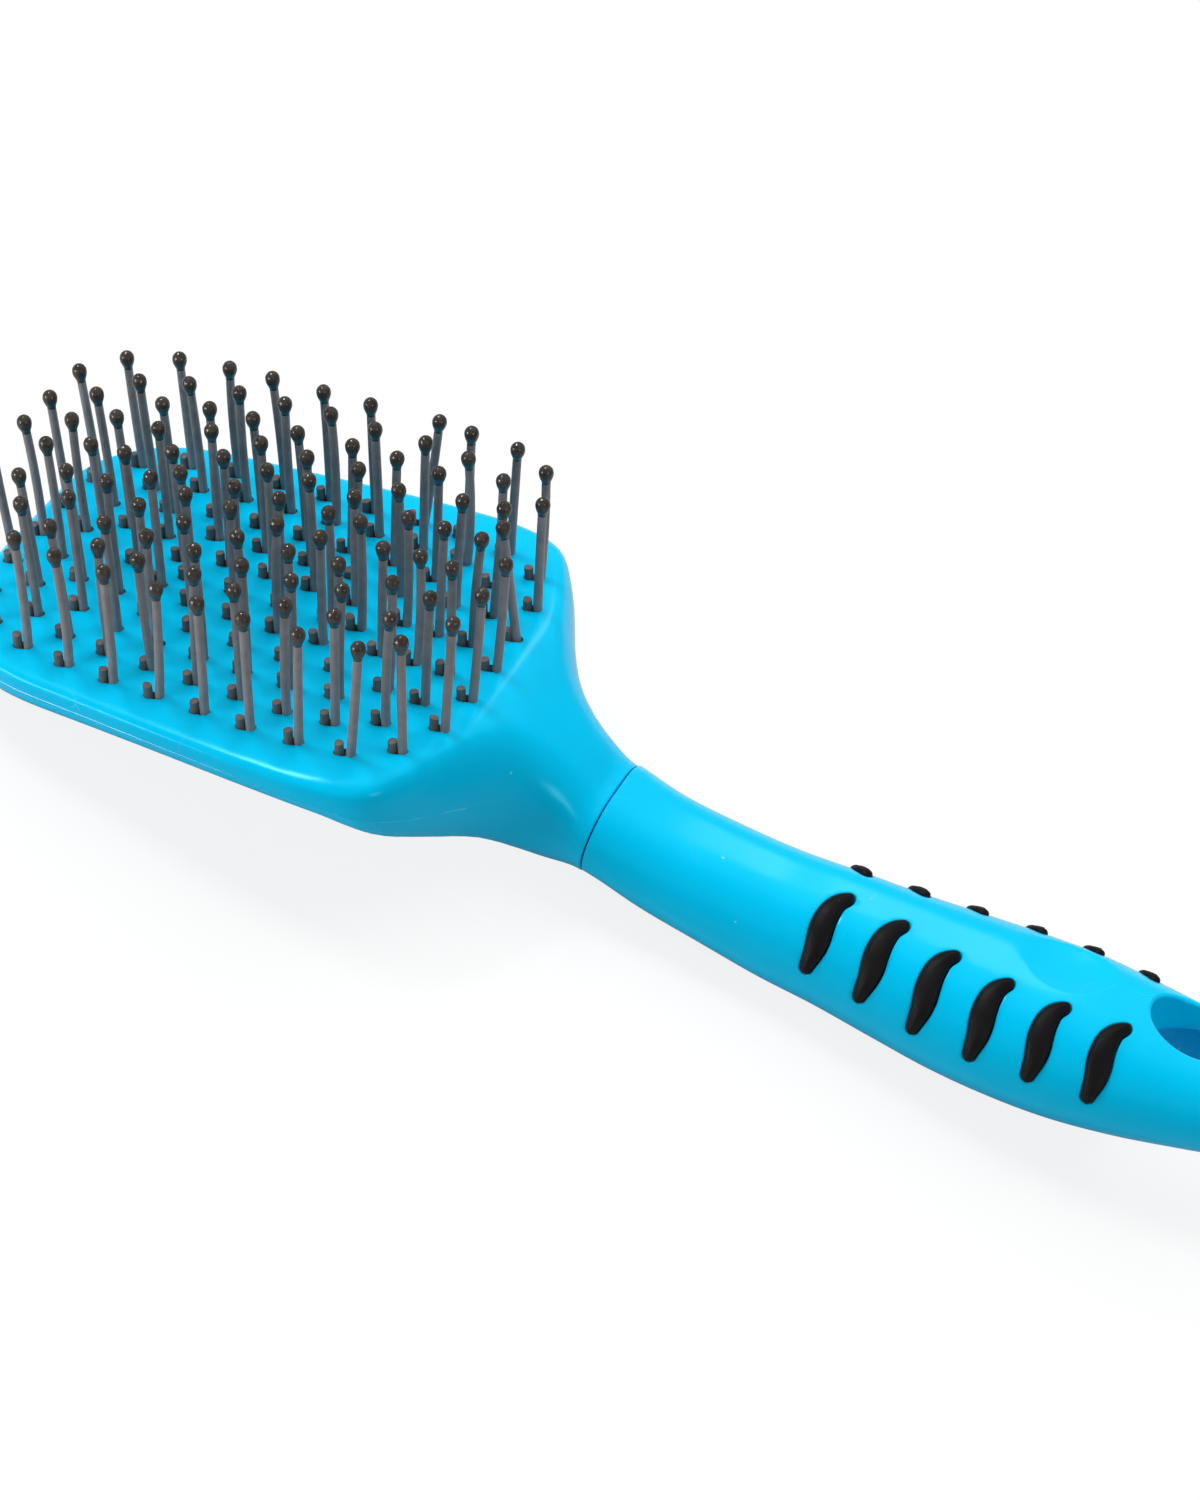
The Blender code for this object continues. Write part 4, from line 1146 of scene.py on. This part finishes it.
def new_group(name, inputs, outputs):
    """Shader node group with named sockets; returns it with its two end nodes."""
    group = bpy.data.node_groups.new(name, "ShaderNodeTree")
    for socket_name, kind, default in inputs:
        socket = group.interface.new_socket(name=socket_name, in_out="INPUT", socket_type=kind)
        socket.default_value = default
    for socket_name, kind in outputs:
        group.interface.new_socket(name=socket_name, in_out="OUTPUT", socket_type=kind)
    start = group.nodes.new("NodeGroupInput")
    end = group.nodes.new("NodeGroupOutput")
    return group, start, end


def node(tree, kind, inputs=None, **settings):
    """Add a node with its settings, its plain values and its links."""
    made = tree.nodes.new(kind)
    for name, value in settings.items():
        setattr(made, name, value)
    for name, value in (inputs or {}).items():
        socket = made.inputs[name]
        if isinstance(value, bpy.types.NodeSocket):
            tree.links.new(value, socket)
        else:
            socket.default_value = value
    return made


def mottle_group():
    """Slow variation of a colour, as moulded plastic and rubber have."""
    name = "slow_mottle"
    if name in bpy.data.node_groups:
        return bpy.data.node_groups[name]
    inputs = (
        ("Colour", "NodeSocketColor", (0.5, 0.5, 0.5, 1.0)),
        ("Scale", "NodeSocketFloat", 60.0),
        ("Darkest", "NodeSocketFloat", 0.93),
        ("Lightest", "NodeSocketFloat", 1.05),
    )
    outputs = (("Colour", "NodeSocketColor"), ("Mask", "NodeSocketFloat"))
    group, start, end = new_group(name, inputs, outputs)
    place = node(group, "ShaderNodeTexCoord")
    noise = node(group, "ShaderNodeTexNoise", {
        "Vector": place.outputs["Object"], "Scale": start.outputs["Scale"],
        "Detail": 4.0, "Roughness": 0.55,
    })
    spread = node(group, "ShaderNodeMapRange", {
        "Value": noise.outputs["Fac"], "From Min": MOTTLE_SPAN[0], "From Max": MOTTLE_SPAN[1],
        "To Min": start.outputs["Darkest"], "To Max": start.outputs["Lightest"],
    })
    tinted = node(group, "ShaderNodeVectorMath", {
        0: start.outputs["Colour"], "Scale": spread.outputs["Result"],
    }, operation="SCALE")
    group.links.new(tinted.outputs["Vector"], end.inputs["Colour"])
    group.links.new(noise.outputs["Fac"], end.inputs["Mask"])
    return group


def specks_mask(group, start, place):
    """Mask of scattered dust specks, inside a node group."""
    cells = node(group, "ShaderNodeTexVoronoi", {
        "Vector": place.outputs["Object"], "Scale": start.outputs["Speck Scale"],
        "Randomness": 1.0,
    })
    near = node(group, "ShaderNodeMath", {
        0: cells.outputs["Distance"], 1: start.outputs["Speck Size"],
    }, operation="LESS_THAN")
    chance = node(group, "ShaderNodeSeparateColor", {"Color": cells.outputs["Color"]})
    few = node(group, "ShaderNodeMath", {
        0: chance.outputs["Red"], 1: start.outputs["Speck Share"],
    }, operation="LESS_THAN")
    specks = node(group, "ShaderNodeMath", {
        0: near.outputs["Value"], 1: few.outputs["Value"],
    }, operation="MULTIPLY")
    return specks.outputs["Value"]


def scratches_mask(group, start, place):
    """Mask of short hair scratches, inside a node group."""
    bend = node(group, "ShaderNodeTexNoise", {
        "Vector": place.outputs["Object"], "Scale": 45.0, "Detail": 2.0,
    })
    swept = node(group, "ShaderNodeVectorMath", {
        0: bend.outputs["Color"], 1: SCRATCH_BEND, 2: place.outputs["Object"],
    }, operation="MULTIPLY_ADD")
    lines = node(group, "ShaderNodeTexVoronoi", {
        "Vector": swept.outputs["Vector"], "Scale": start.outputs["Scratch Scale"],
    }, feature="DISTANCE_TO_EDGE")
    thin = node(group, "ShaderNodeMath", {
        0: lines.outputs["Distance"], 1: start.outputs["Scratch Width"],
    }, operation="LESS_THAN")
    patches = node(group, "ShaderNodeTexNoise", {
        "Vector": place.outputs["Object"], "Scale": 130.0, "Detail": 3.0,
    })
    kept = node(group, "ShaderNodeMapRange", {
        "Value": patches.outputs["Fac"], "From Min": 0.60, "From Max": 0.70,
        "To Min": 0.0, "To Max": 1.0,
    })
    scratches = node(group, "ShaderNodeMath", {
        0: thin.outputs["Value"], 1: kept.outputs["Result"],
    }, operation="MULTIPLY")
    return scratches.outputs["Value"]


def specks_group():
    """Masks of scattered dust specks and of short hair scratches."""
    name = "specks_and_scratches"
    if name in bpy.data.node_groups:
        return bpy.data.node_groups[name]
    inputs = (
        ("Speck Scale", "NodeSocketFloat", 900.0),
        ("Speck Size", "NodeSocketFloat", 0.16),
        ("Speck Share", "NodeSocketFloat", 0.03),
        ("Scratch Scale", "NodeSocketFloat", 160.0),
        ("Scratch Width", "NodeSocketFloat", 0.006),
    )
    outputs = (("Specks", "NodeSocketFloat"), ("Scratches", "NodeSocketFloat"))
    group, start, end = new_group(name, inputs, outputs)
    place = node(group, "ShaderNodeTexCoord")
    group.links.new(specks_mask(group, start, place), end.inputs["Specks"])
    group.links.new(scratches_mask(group, start, place), end.inputs["Scratches"])
    return group


def grain_group():
    """Height of a moulded surface's fine grain over its slow waviness."""
    name = "moulded_grain"
    if name in bpy.data.node_groups:
        return bpy.data.node_groups[name]
    inputs = (
        ("Grain Scale", "NodeSocketFloat", 2600.0),
        ("Wave Scale", "NodeSocketFloat", 90.0),
        ("Grain Share", "NodeSocketFloat", 0.35),
    )
    group, start, end = new_group(name, inputs, (("Height", "NodeSocketFloat"),))
    place = node(group, "ShaderNodeTexCoord")
    grain = node(group, "ShaderNodeTexNoise", {
        "Vector": place.outputs["Object"], "Scale": start.outputs["Grain Scale"],
        "Detail": 2.0, "Roughness": 0.6,
    })
    wave = node(group, "ShaderNodeTexNoise", {
        "Vector": place.outputs["Object"], "Scale": start.outputs["Wave Scale"],
        "Detail": 2.0, "Roughness": 0.4,
    })
    fine = node(group, "ShaderNodeMath", {
        0: grain.outputs["Fac"], 1: start.outputs["Grain Share"],
    }, operation="MULTIPLY")
    both = node(group, "ShaderNodeMath", {
        0: fine.outputs["Value"], 1: wave.outputs["Fac"],
    }, operation="ADD")
    group.links.new(both.outputs["Value"], end.inputs["Height"])
    return group


def placed_group(tree, group, **inputs):
    """Place a node group in a material, with its own values."""
    made = tree.nodes.new("ShaderNodeGroup")
    made.node_tree = group
    for name, value in inputs.items():
        made.inputs[name.replace("_", " ")].default_value = value
    return made


def start_material(name, roughness):
    """Empty Principled material; returns it with its tree and its shader."""
    material = bpy.data.materials.new(name)
    material.use_nodes = True
    tree = material.node_tree
    shader = tree.nodes["Principled BSDF"]
    shader.inputs["Roughness"].default_value = roughness
    return material, tree, shader


def add_grain(tree, shader, look):
    """Give a shader the fine grain and the slow waviness of a moulded surface."""
    grain = placed_group(
        tree, grain_group(), Grain_Scale=look.grain_scale, Wave_Scale=look.wave_scale,
        Grain_Share=look.grain_share,
    )
    bump = node(tree, "ShaderNodeBump", {
        "Height": grain.outputs["Height"], "Distance": look.bump_height,
        "Strength": look.bump_strength,
    })
    tree.links.new(bump.outputs["Normal"], shader.inputs["Normal"])


def surface_detail(tree, shader, look):
    """Give a shader its mottled colour, its specks, its uneven gloss and its grain."""
    mottle = placed_group(
        tree, mottle_group(), Colour=(*look.colour, 1.0), Scale=look.mottle_scale,
        Darkest=look.darkest, Lightest=look.lightest,
    )
    specks = placed_group(
        tree, specks_group(), Speck_Scale=look.speck_scale, Speck_Share=look.speck_share,
        Scratch_Scale=look.scratch_scale, Scratch_Width=look.scratch_width,
    )
    marks = node(tree, "ShaderNodeMath", {
        0: specks.outputs["Scratches"], 1: look.scratch_strength, 2: specks.outputs["Specks"],
    }, operation="MULTIPLY_ADD", use_clamp=True)
    faded = node(tree, "ShaderNodeMath", {
        0: marks.outputs["Value"], 1: look.mark_strength,
    }, operation="MULTIPLY")
    mixed = node(tree, "ShaderNodeMix", {
        "Factor": faded.outputs["Value"], "A": mottle.outputs["Colour"],
        "B": (*look.mark_colour, 1.0),
    }, data_type="RGBA")
    tree.links.new(mixed.outputs["Result"], shader.inputs["Base Color"])
    gloss = node(tree, "ShaderNodeMapRange", {
        "Value": mottle.outputs["Mask"], "From Min": MOTTLE_SPAN[0], "From Max": MOTTLE_SPAN[1],
        "To Min": look.roughness - look.gloss_spread, "To Max": look.roughness + look.gloss_spread,
    })
    duller = node(tree, "ShaderNodeMath", {
        0: marks.outputs["Value"], 1: MARK_DULLING, 2: gloss.outputs["Result"],
    }, operation="MULTIPLY_ADD", use_clamp=True)
    tree.links.new(duller.outputs["Value"], shader.inputs["Roughness"])
    add_grain(tree, shader, look)


def blue_material(finishes):
    """Glossy blue plastic of the head and the handle."""
    material, tree, shader = start_material("blue_moulding", finishes.blue_gloss)
    look = SimpleNamespace(
        colour=finishes.blue, mottle_scale=38.0, darkest=0.965, lightest=1.03,
        speck_scale=620.0, speck_share=0.010, scratch_scale=95.0, scratch_width=0.0035,
        scratch_strength=0.35, mark_strength=0.30, mark_colour=(0.55, 0.88, 0.95),
        roughness=finishes.blue_gloss, gloss_spread=0.025,
        grain_scale=2300.0, wave_scale=70.0, grain_share=0.16,
        bump_height=0.0001, bump_strength=0.22,
    )
    surface_detail(tree, shader, look)
    shader.inputs["IOR"].default_value = 1.48
    shader.inputs["Specular IOR Level"].default_value = 0.32
    shader.inputs["Specular Tint"].default_value = (0.20, 0.85, 1.0, 1.0)
    return material


def flash_and_highlight_material(finishes):
    """Moulding line, lighter in dashes: whitened flash and a painted highlight along its ridge."""
    material, tree, shader = start_material("moulding_line", finishes.blue_gloss)
    mottle = placed_group(
        tree, mottle_group(), Colour=(*finishes.blue, 1.0), Scale=140.0, Darkest=0.9,
        Lightest=1.05,
    )
    torn_and_highlight = node(tree, "ShaderNodeMapRange", {
        "Value": mottle.outputs["Mask"], "From Min": TORN_AND_HIGHLIGHT_SPAN[0], "From Max": TORN_AND_HIGHLIGHT_SPAN[1],
        "To Max": TORN_AND_HIGHLIGHT_STRENGTH,
    })
    mixed = node(tree, "ShaderNodeMix", {
        "Factor": torn_and_highlight.outputs["Result"], "A": mottle.outputs["Colour"],
        "B": (*finishes.torn_and_highlight, 1.0),
    }, data_type="RGBA")
    tree.links.new(mixed.outputs["Result"], shader.inputs["Base Color"])
    return material


def rubber_material(finishes):
    """Satin black rubber of the ribs and the pad."""
    material, tree, shader = start_material("rib_rubber", finishes.rubber_gloss)
    shader.inputs["Specular IOR Level"].default_value = 0.18
    look = SimpleNamespace(
        colour=finishes.rubber, mottle_scale=240.0, darkest=0.80, lightest=1.20,
        speck_scale=1500.0, speck_share=0.020, scratch_scale=260.0, scratch_width=0.006,
        scratch_strength=0.5, mark_strength=0.18, mark_colour=(0.22, 0.20, 0.19),
        roughness=finishes.rubber_gloss, gloss_spread=0.07,
        grain_scale=5200.0, wave_scale=400.0, grain_share=0.6,
        bump_height=0.00012, bump_strength=0.5,
    )
    surface_detail(tree, shader, look)
    return material


def nylon_look(finishes, colour):
    """Detail that the pins' legs and their cut ends share."""
    return SimpleNamespace(
        colour=colour, mottle_scale=420.0, darkest=0.86, lightest=1.14,
        speck_scale=2600.0, speck_share=0.012, scratch_scale=700.0, scratch_width=0.008,
        scratch_strength=0.4, mark_strength=0.20, mark_colour=(0.42, 0.40, 0.38),
        roughness=finishes.nylon_gloss, gloss_spread=0.06,
        grain_scale=4200.0, wave_scale=900.0, grain_share=0.4,
        bump_height=0.00008, bump_strength=0.35,
    )


def nylon_material(finishes):
    """Grey nylon of the pins' long legs."""
    material, tree, shader = start_material("nylon_leg", finishes.nylon_gloss)
    surface_detail(tree, shader, nylon_look(finishes, finishes.nylon))
    shader.inputs["Specular IOR Level"].default_value = 0.35
    return material


def cut_and_shade_material(finishes):
    """Darker cut legs: bruised cut ends, and painted shade of the long legs beside them."""
    material, tree, shader = start_material("cut_nylon", finishes.nylon_gloss)
    surface_detail(tree, shader, nylon_look(finishes, finishes.cut))
    shader.inputs["Specular IOR Level"].default_value = 0.30
    return material


def ball_material(finishes):
    """Dark glossy coat of the pins' ball tips."""
    material, tree, shader = start_material("ball_coat", finishes.ball_gloss)
    look = SimpleNamespace(
        colour=finishes.ball, mottle_scale=900.0, darkest=0.62, lightest=1.55,
        speck_scale=3200.0, speck_share=0.03, scratch_scale=900.0, scratch_width=0.006,
        scratch_strength=0.3, mark_strength=0.25, mark_colour=(0.30, 0.27, 0.24),
        roughness=finishes.ball_gloss, gloss_spread=0.05,
        grain_scale=2600.0, wave_scale=1300.0, grain_share=0.5,
        bump_height=0.00012, bump_strength=0.6,
    )
    surface_detail(tree, shader, look)
    return material


def made_once(name, maker, finishes):
    """The scene's material of this name, made when it is first needed."""
    if name not in bpy.data.materials:
        maker(finishes)
    return bpy.data.materials[name]


def floor_material(settings):
    """Pale floor that shows white to the camera and keeps a soft shadow."""
    material, tree, shader = start_material("pale_floor", FLOOR_ROUGHNESS)
    path = node(tree, "ShaderNodeLightPath")
    seen = node(tree, "ShaderNodeMath", {
        0: path.outputs["Is Camera Ray"], 1: path.outputs["Is Transmission Ray"],
    }, operation="MAXIMUM")
    place = node(tree, "ShaderNodeTexCoord")
    distance = node(tree, "ShaderNodeVectorMath", {0: place.outputs["Object"]}, operation="LENGTH")
    whiter = node(tree, "ShaderNodeMapRange", {
        "Value": distance.outputs["Value"],
        "From Min": FLOOR_WHITE_DISTANCES[0], "From Max": FLOOR_WHITE_DISTANCES[1],
        "To Min": FLOOR_WHITE_SHARES[0], "To Max": FLOOR_WHITE_SHARES[1],
    })
    share = node(tree, "ShaderNodeMath", {
        0: seen.outputs["Value"], 1: whiter.outputs["Result"],
    }, operation="MULTIPLY")
    colour = node(tree, "ShaderNodeMix", {
        "Factor": path.outputs["Is Camera Ray"], "A": (*settings.floor_colour, 1.0),
        "B": (*settings.floor_seen, 1.0),
    }, data_type="RGBA")
    tree.links.new(colour.outputs["Result"], shader.inputs["Base Color"])
    white = node(tree, "ShaderNodeEmission", {"Color": (1.0, 1.0, 1.0, 1.0), "Strength": 1.0})
    mixed = node(tree, "ShaderNodeMixShader", {
        "Fac": share.outputs["Value"], 1: shader.outputs["BSDF"], 2: white.outputs["Emission"],
    })
    tree.links.new(mixed.outputs["Shader"], tree.nodes["Material Output"].inputs["Surface"])
    return material


def studio_world(settings):
    """Surroundings: white where seen, and a soft even light on the brush."""
    world = bpy.data.worlds.new("studio")
    world.use_nodes = True
    tree = world.node_tree
    path = node(tree, "ShaderNodeLightPath")
    seen = node(tree, "ShaderNodeMath", {
        0: path.outputs["Is Camera Ray"], 1: path.outputs["Is Transmission Ray"],
    }, operation="MAXIMUM")
    light = node(tree, "ShaderNodeMapRange", {
        "Value": path.outputs["Is Glossy Ray"], "To Min": settings.sky_level,
        "To Max": settings.mirror_level,
    })
    strength = node(tree, "ShaderNodeMapRange", {
        "Value": seen.outputs["Value"], "To Min": light.outputs["Result"], "To Max": 1.0,
    })
    background = tree.nodes["Background"]
    background.inputs["Color"].default_value = (1.0, 1.0, 1.0, 1.0)
    tree.links.new(strength.outputs["Result"], background.inputs["Strength"])
    return world


def add_lamp(name, place, target, size, power, mirrored):
    """Soft lamp at a place, facing a target; gloss shows it where it is mirrored."""
    lamp = bpy.data.lights.new(name, "AREA")
    lamp.shape = "RECTANGLE"
    lamp.size, lamp.size_y = size
    lamp.energy = power
    holder = bpy.data.objects.new(name, lamp)
    holder.location = place
    towards = Vector(target) - Vector(place)
    holder.rotation_euler = towards.to_track_quat("-Z", "Y").to_euler()
    holder.visible_glossy = mirrored
    bpy.context.scene.collection.objects.link(holder)


def add_camera(sizes, settings):
    """Camera at the photograph's place and angle."""
    camera = bpy.data.cameras.new("photograph")
    camera.sensor_fit = "VERTICAL"
    camera.sensor_height = SENSOR_HEIGHT
    camera.lens = settings.focal_length
    camera.clip_start, camera.clip_end = CLIP_DISTANCES
    holder = bpy.data.objects.new("photograph", camera)
    axes = Matrix.Identity(4)
    axes.col[0][:3] = CAMERA_RIGHT
    axes.col[1][:3] = [-value for value in CAMERA_DOWN]
    axes.col[2][:3] = [-value for value in CAMERA_FORWARD]
    axes.col[3][:3] = CAMERA_PLACE
    holder.matrix_world = rest_place(sizes) @ axes
    bpy.context.scene.collection.objects.link(holder)
    bpy.context.scene.camera = holder


class MANEBRUSH_OT_head(bpy.types.Operator):
    """Make the moulded head with its neck, its rounded rim and a hole for every pin"""

    bl_idname = "mane_brush.make_head"
    bl_label = "Make Head"

    def execute(self, context):
        sizes = read_sizes(context)
        finishes = context.scene.brush_finishes
        materials = [
            made_once("blue_moulding", blue_material, finishes),
            made_once("moulding_line", flash_and_highlight_material, finishes),
        ]
        places = end_places(sizes.head_length, sizes.tip_corner, TIP_STATIONS)
        form = moulded_body(sizes, head_section, -1, places, 0.0)
        head = add_object("head_moulding", form, materials)
        cut_away(head, [pin_holes(sizes, pin_rows(sizes))])
        settle(head, sizes, BODY_SHARP_ANGLE)
        even_shading(head)
        hand_over(head, "blue_plastic", "head")
        return {"FINISHED"}


class MANEBRUSH_OT_handle(bpy.types.Operator):
    """Make the moulded handle with its rib pockets, pad pocket and hang hole"""

    bl_idname = "mane_brush.make_handle"
    bl_label = "Make Handle"

    def execute(self, context):
        sizes = read_sizes(context)
        material = made_once("blue_moulding", blue_material, context.scene.brush_finishes)
        form = handle_form(sizes)
        skin = BVHTree.FromBMesh(form)
        handle = add_object("handle_moulding", form, [material])
        cutters = [add_object("hang_hole", hole_form(sizes, skin))]
        for side in (-1, 1):
            for number in range(len(RIB_PLACE_SHARES)):
                pocket = pocket_form(sizes, skin, number, side)
                cutters.append(add_object(f"pocket_{side}_{number}", pocket))
        pad_clear = sizes.pad_proud * PAD_CUTTER_SHARE
        pad_steps = ((0.0, -sizes.pocket_depth, 0.0), (0.0, pad_clear, 0.0))
        pad_pocket = pad_form(sizes, skin, sizes.pocket_gap, pad_steps)
        cutters.append(add_object("pad_pocket", pad_pocket))
        cut_away(handle, cutters)
        settle(handle, sizes, BODY_SHARP_ANGLE)
        even_shading(handle)
        hand_over(handle, "blue_plastic", "handle")
        return {"FINISHED"}


class MANEBRUSH_OT_pins(bpy.types.Operator):
    """Make every row of folded nylon pins with their ball tips"""

    bl_idname = "mane_brush.make_pins"
    bl_label = "Make Pins"

    def execute(self, context):
        sizes = read_sizes(context)
        finishes = context.scene.brush_finishes
        materials = [
            made_once("nylon_leg", nylon_material, finishes),
            made_once("ball_coat", ball_material, finishes),
            made_once("cut_nylon", cut_and_shade_material, finishes),
        ]
        dice = Random(sizes.pin_seed)
        for name, feet in pin_rows(sizes):
            form = bmesh.new()
            leans = ROW_LEAN_SHARES.get(name, [None] * len(feet))
            for foot, lean_share in zip(feet, leans):
                add_long_leg(form, sizes, foot, dice, lean_share)
                add_cut_leg(form, sizes, foot, dice)
            bmesh.ops.recalc_face_normals(form, faces=form.faces)
            row = add_object(f"{name}_pins", form, materials)
            settle(row, sizes, PIN_SHARP_ANGLE)
            hand_over(row, "grey_nylon", name)
        return {"FINISHED"}


class MANEBRUSH_OT_ribs(bpy.types.Operator):
    """Make the twelve rubber grip ribs"""

    bl_idname = "mane_brush.make_grip_ribs"
    bl_label = "Make Grip Ribs"

    def execute(self, context):
        sizes = read_sizes(context)
        material = made_once("rib_rubber", rubber_material, context.scene.brush_finishes)
        skin = handle_skin(sizes)
        for side_name, side in (("near", -1), ("far", 1)):
            for number in range(len(RIB_PLACE_SHARES)):
                name = f"grip_rib_{side_name}_{number + 1}"
                rib = add_object(f"{name}_rubber", rib_form(sizes, skin, number, side), [material])
                settle(rib, sizes, RUBBER_SHARP_ANGLE)
                hand_over(rib, "black_rubber", name)
        return {"FINISHED"}


class MANEBRUSH_OT_pad(bpy.types.Operator):
    """Make the rubber pad under the handle"""

    bl_idname = "mane_brush.make_underside_pad"
    bl_label = "Make Underside Pad"

    def execute(self, context):
        sizes = read_sizes(context)
        material = made_once("rib_rubber", rubber_material, context.scene.brush_finishes)
        skin = handle_skin(sizes)
        reach = sizes.pad_width / 2
        steps = [(0.0, -sizes.pocket_depth + FIT_GAP, 0.0)]
        steps += [(inset, sizes.pad_proud * rise, 0.0) for inset, rise in PAD_EDGE_ROWS]
        steps += [(reach * share, sizes.pad_proud, 1.0) for share in PAD_TOP_SHARES]
        pad = add_object("underside_pad_rubber", pad_form(sizes, skin, 0.0, steps), [material])
        settle(pad, sizes, RUBBER_SHARP_ANGLE)
        hand_over(pad, "black_rubber", "underside_pad")
        return {"FINISHED"}


class MANEBRUSH_OT_stage(bpy.types.Operator):
    """Make the pale floor, the lamps, the surroundings and the camera"""

    bl_idname = "mane_brush.make_stage"
    bl_label = "Make Stage"

    def execute(self, context):
        sizes = read_sizes(context)
        scene = context.scene
        settings = scene.stage_settings
        scene.view_settings.view_transform = "Standard"
        form = bmesh.new()
        bmesh.ops.create_grid(
            form, x_segments=FLOOR_CELLS, y_segments=FLOOR_CELLS, size=settings.floor_size / 2
        )
        floor = add_object("floor", form, [floor_material(settings)])
        floor.location.z = -FLOOR_DROP
        scene.world = studio_world(settings)
        for name, place, target, size, power_name, mirrored in LAMPS:
            add_lamp(name, place, target, size, getattr(settings, power_name), mirrored)
        add_camera(sizes, settings)
        return {"FINISHED"}


class MANEBRUSH_PT_panel(bpy.types.Panel):
    """Buttons and sizes of the mane brush"""

    bl_idname = "MANEBRUSH_PT_panel"
    bl_label = "Mane Brush"
    bl_space_type = "VIEW_3D"
    bl_region_type = "UI"
    bl_category = "Mane Brush"

    def draw(self, context):
        layout = self.layout
        for operator in OPERATORS:
            layout.operator(operator.bl_idname)
        for group_name, group_class in PROPERTY_GROUPS.items():
            box = layout.box()
            box.label(text=group_class.__doc__.rstrip("."))
            for name in group_class.__annotations__:
                box.prop(getattr(context.scene, group_name), name)


OPERATORS = (
    MANEBRUSH_OT_head,
    MANEBRUSH_OT_handle,
    MANEBRUSH_OT_pins,
    MANEBRUSH_OT_ribs,
    MANEBRUSH_OT_pad,
    MANEBRUSH_OT_stage,
)
PROPERTY_GROUPS = {
    **SIZE_GROUPS, "brush_finishes": BrushFinishes, "stage_settings": StageSettings,
}


def register():
    """Register the classes and hang the property groups on the scene."""
    for group_name, group_class in PROPERTY_GROUPS.items():
        bpy.utils.register_class(group_class)
        setattr(bpy.types.Scene, group_name, PointerProperty(type=group_class))
    for operator in OPERATORS:
        bpy.utils.register_class(operator)
    bpy.utils.register_class(MANEBRUSH_PT_panel)


def unregister():
    """Take everything that register added away again."""
    bpy.utils.unregister_class(MANEBRUSH_PT_panel)
    for operator in reversed(OPERATORS):
        bpy.utils.unregister_class(operator)
    for group_name, group_class in reversed(PROPERTY_GROUPS.items()):
        delattr(bpy.types.Scene, group_name)
        bpy.utils.unregister_class(group_class)


def main():
    """Make the whole scene."""
    register()
    bpy.ops.mane_brush.make_head()
    bpy.ops.mane_brush.make_handle()
    bpy.ops.mane_brush.make_pins()
    bpy.ops.mane_brush.make_grip_ribs()
    bpy.ops.mane_brush.make_underside_pad()
    bpy.ops.mane_brush.make_stage()


if __name__ == "__main__":
    main()
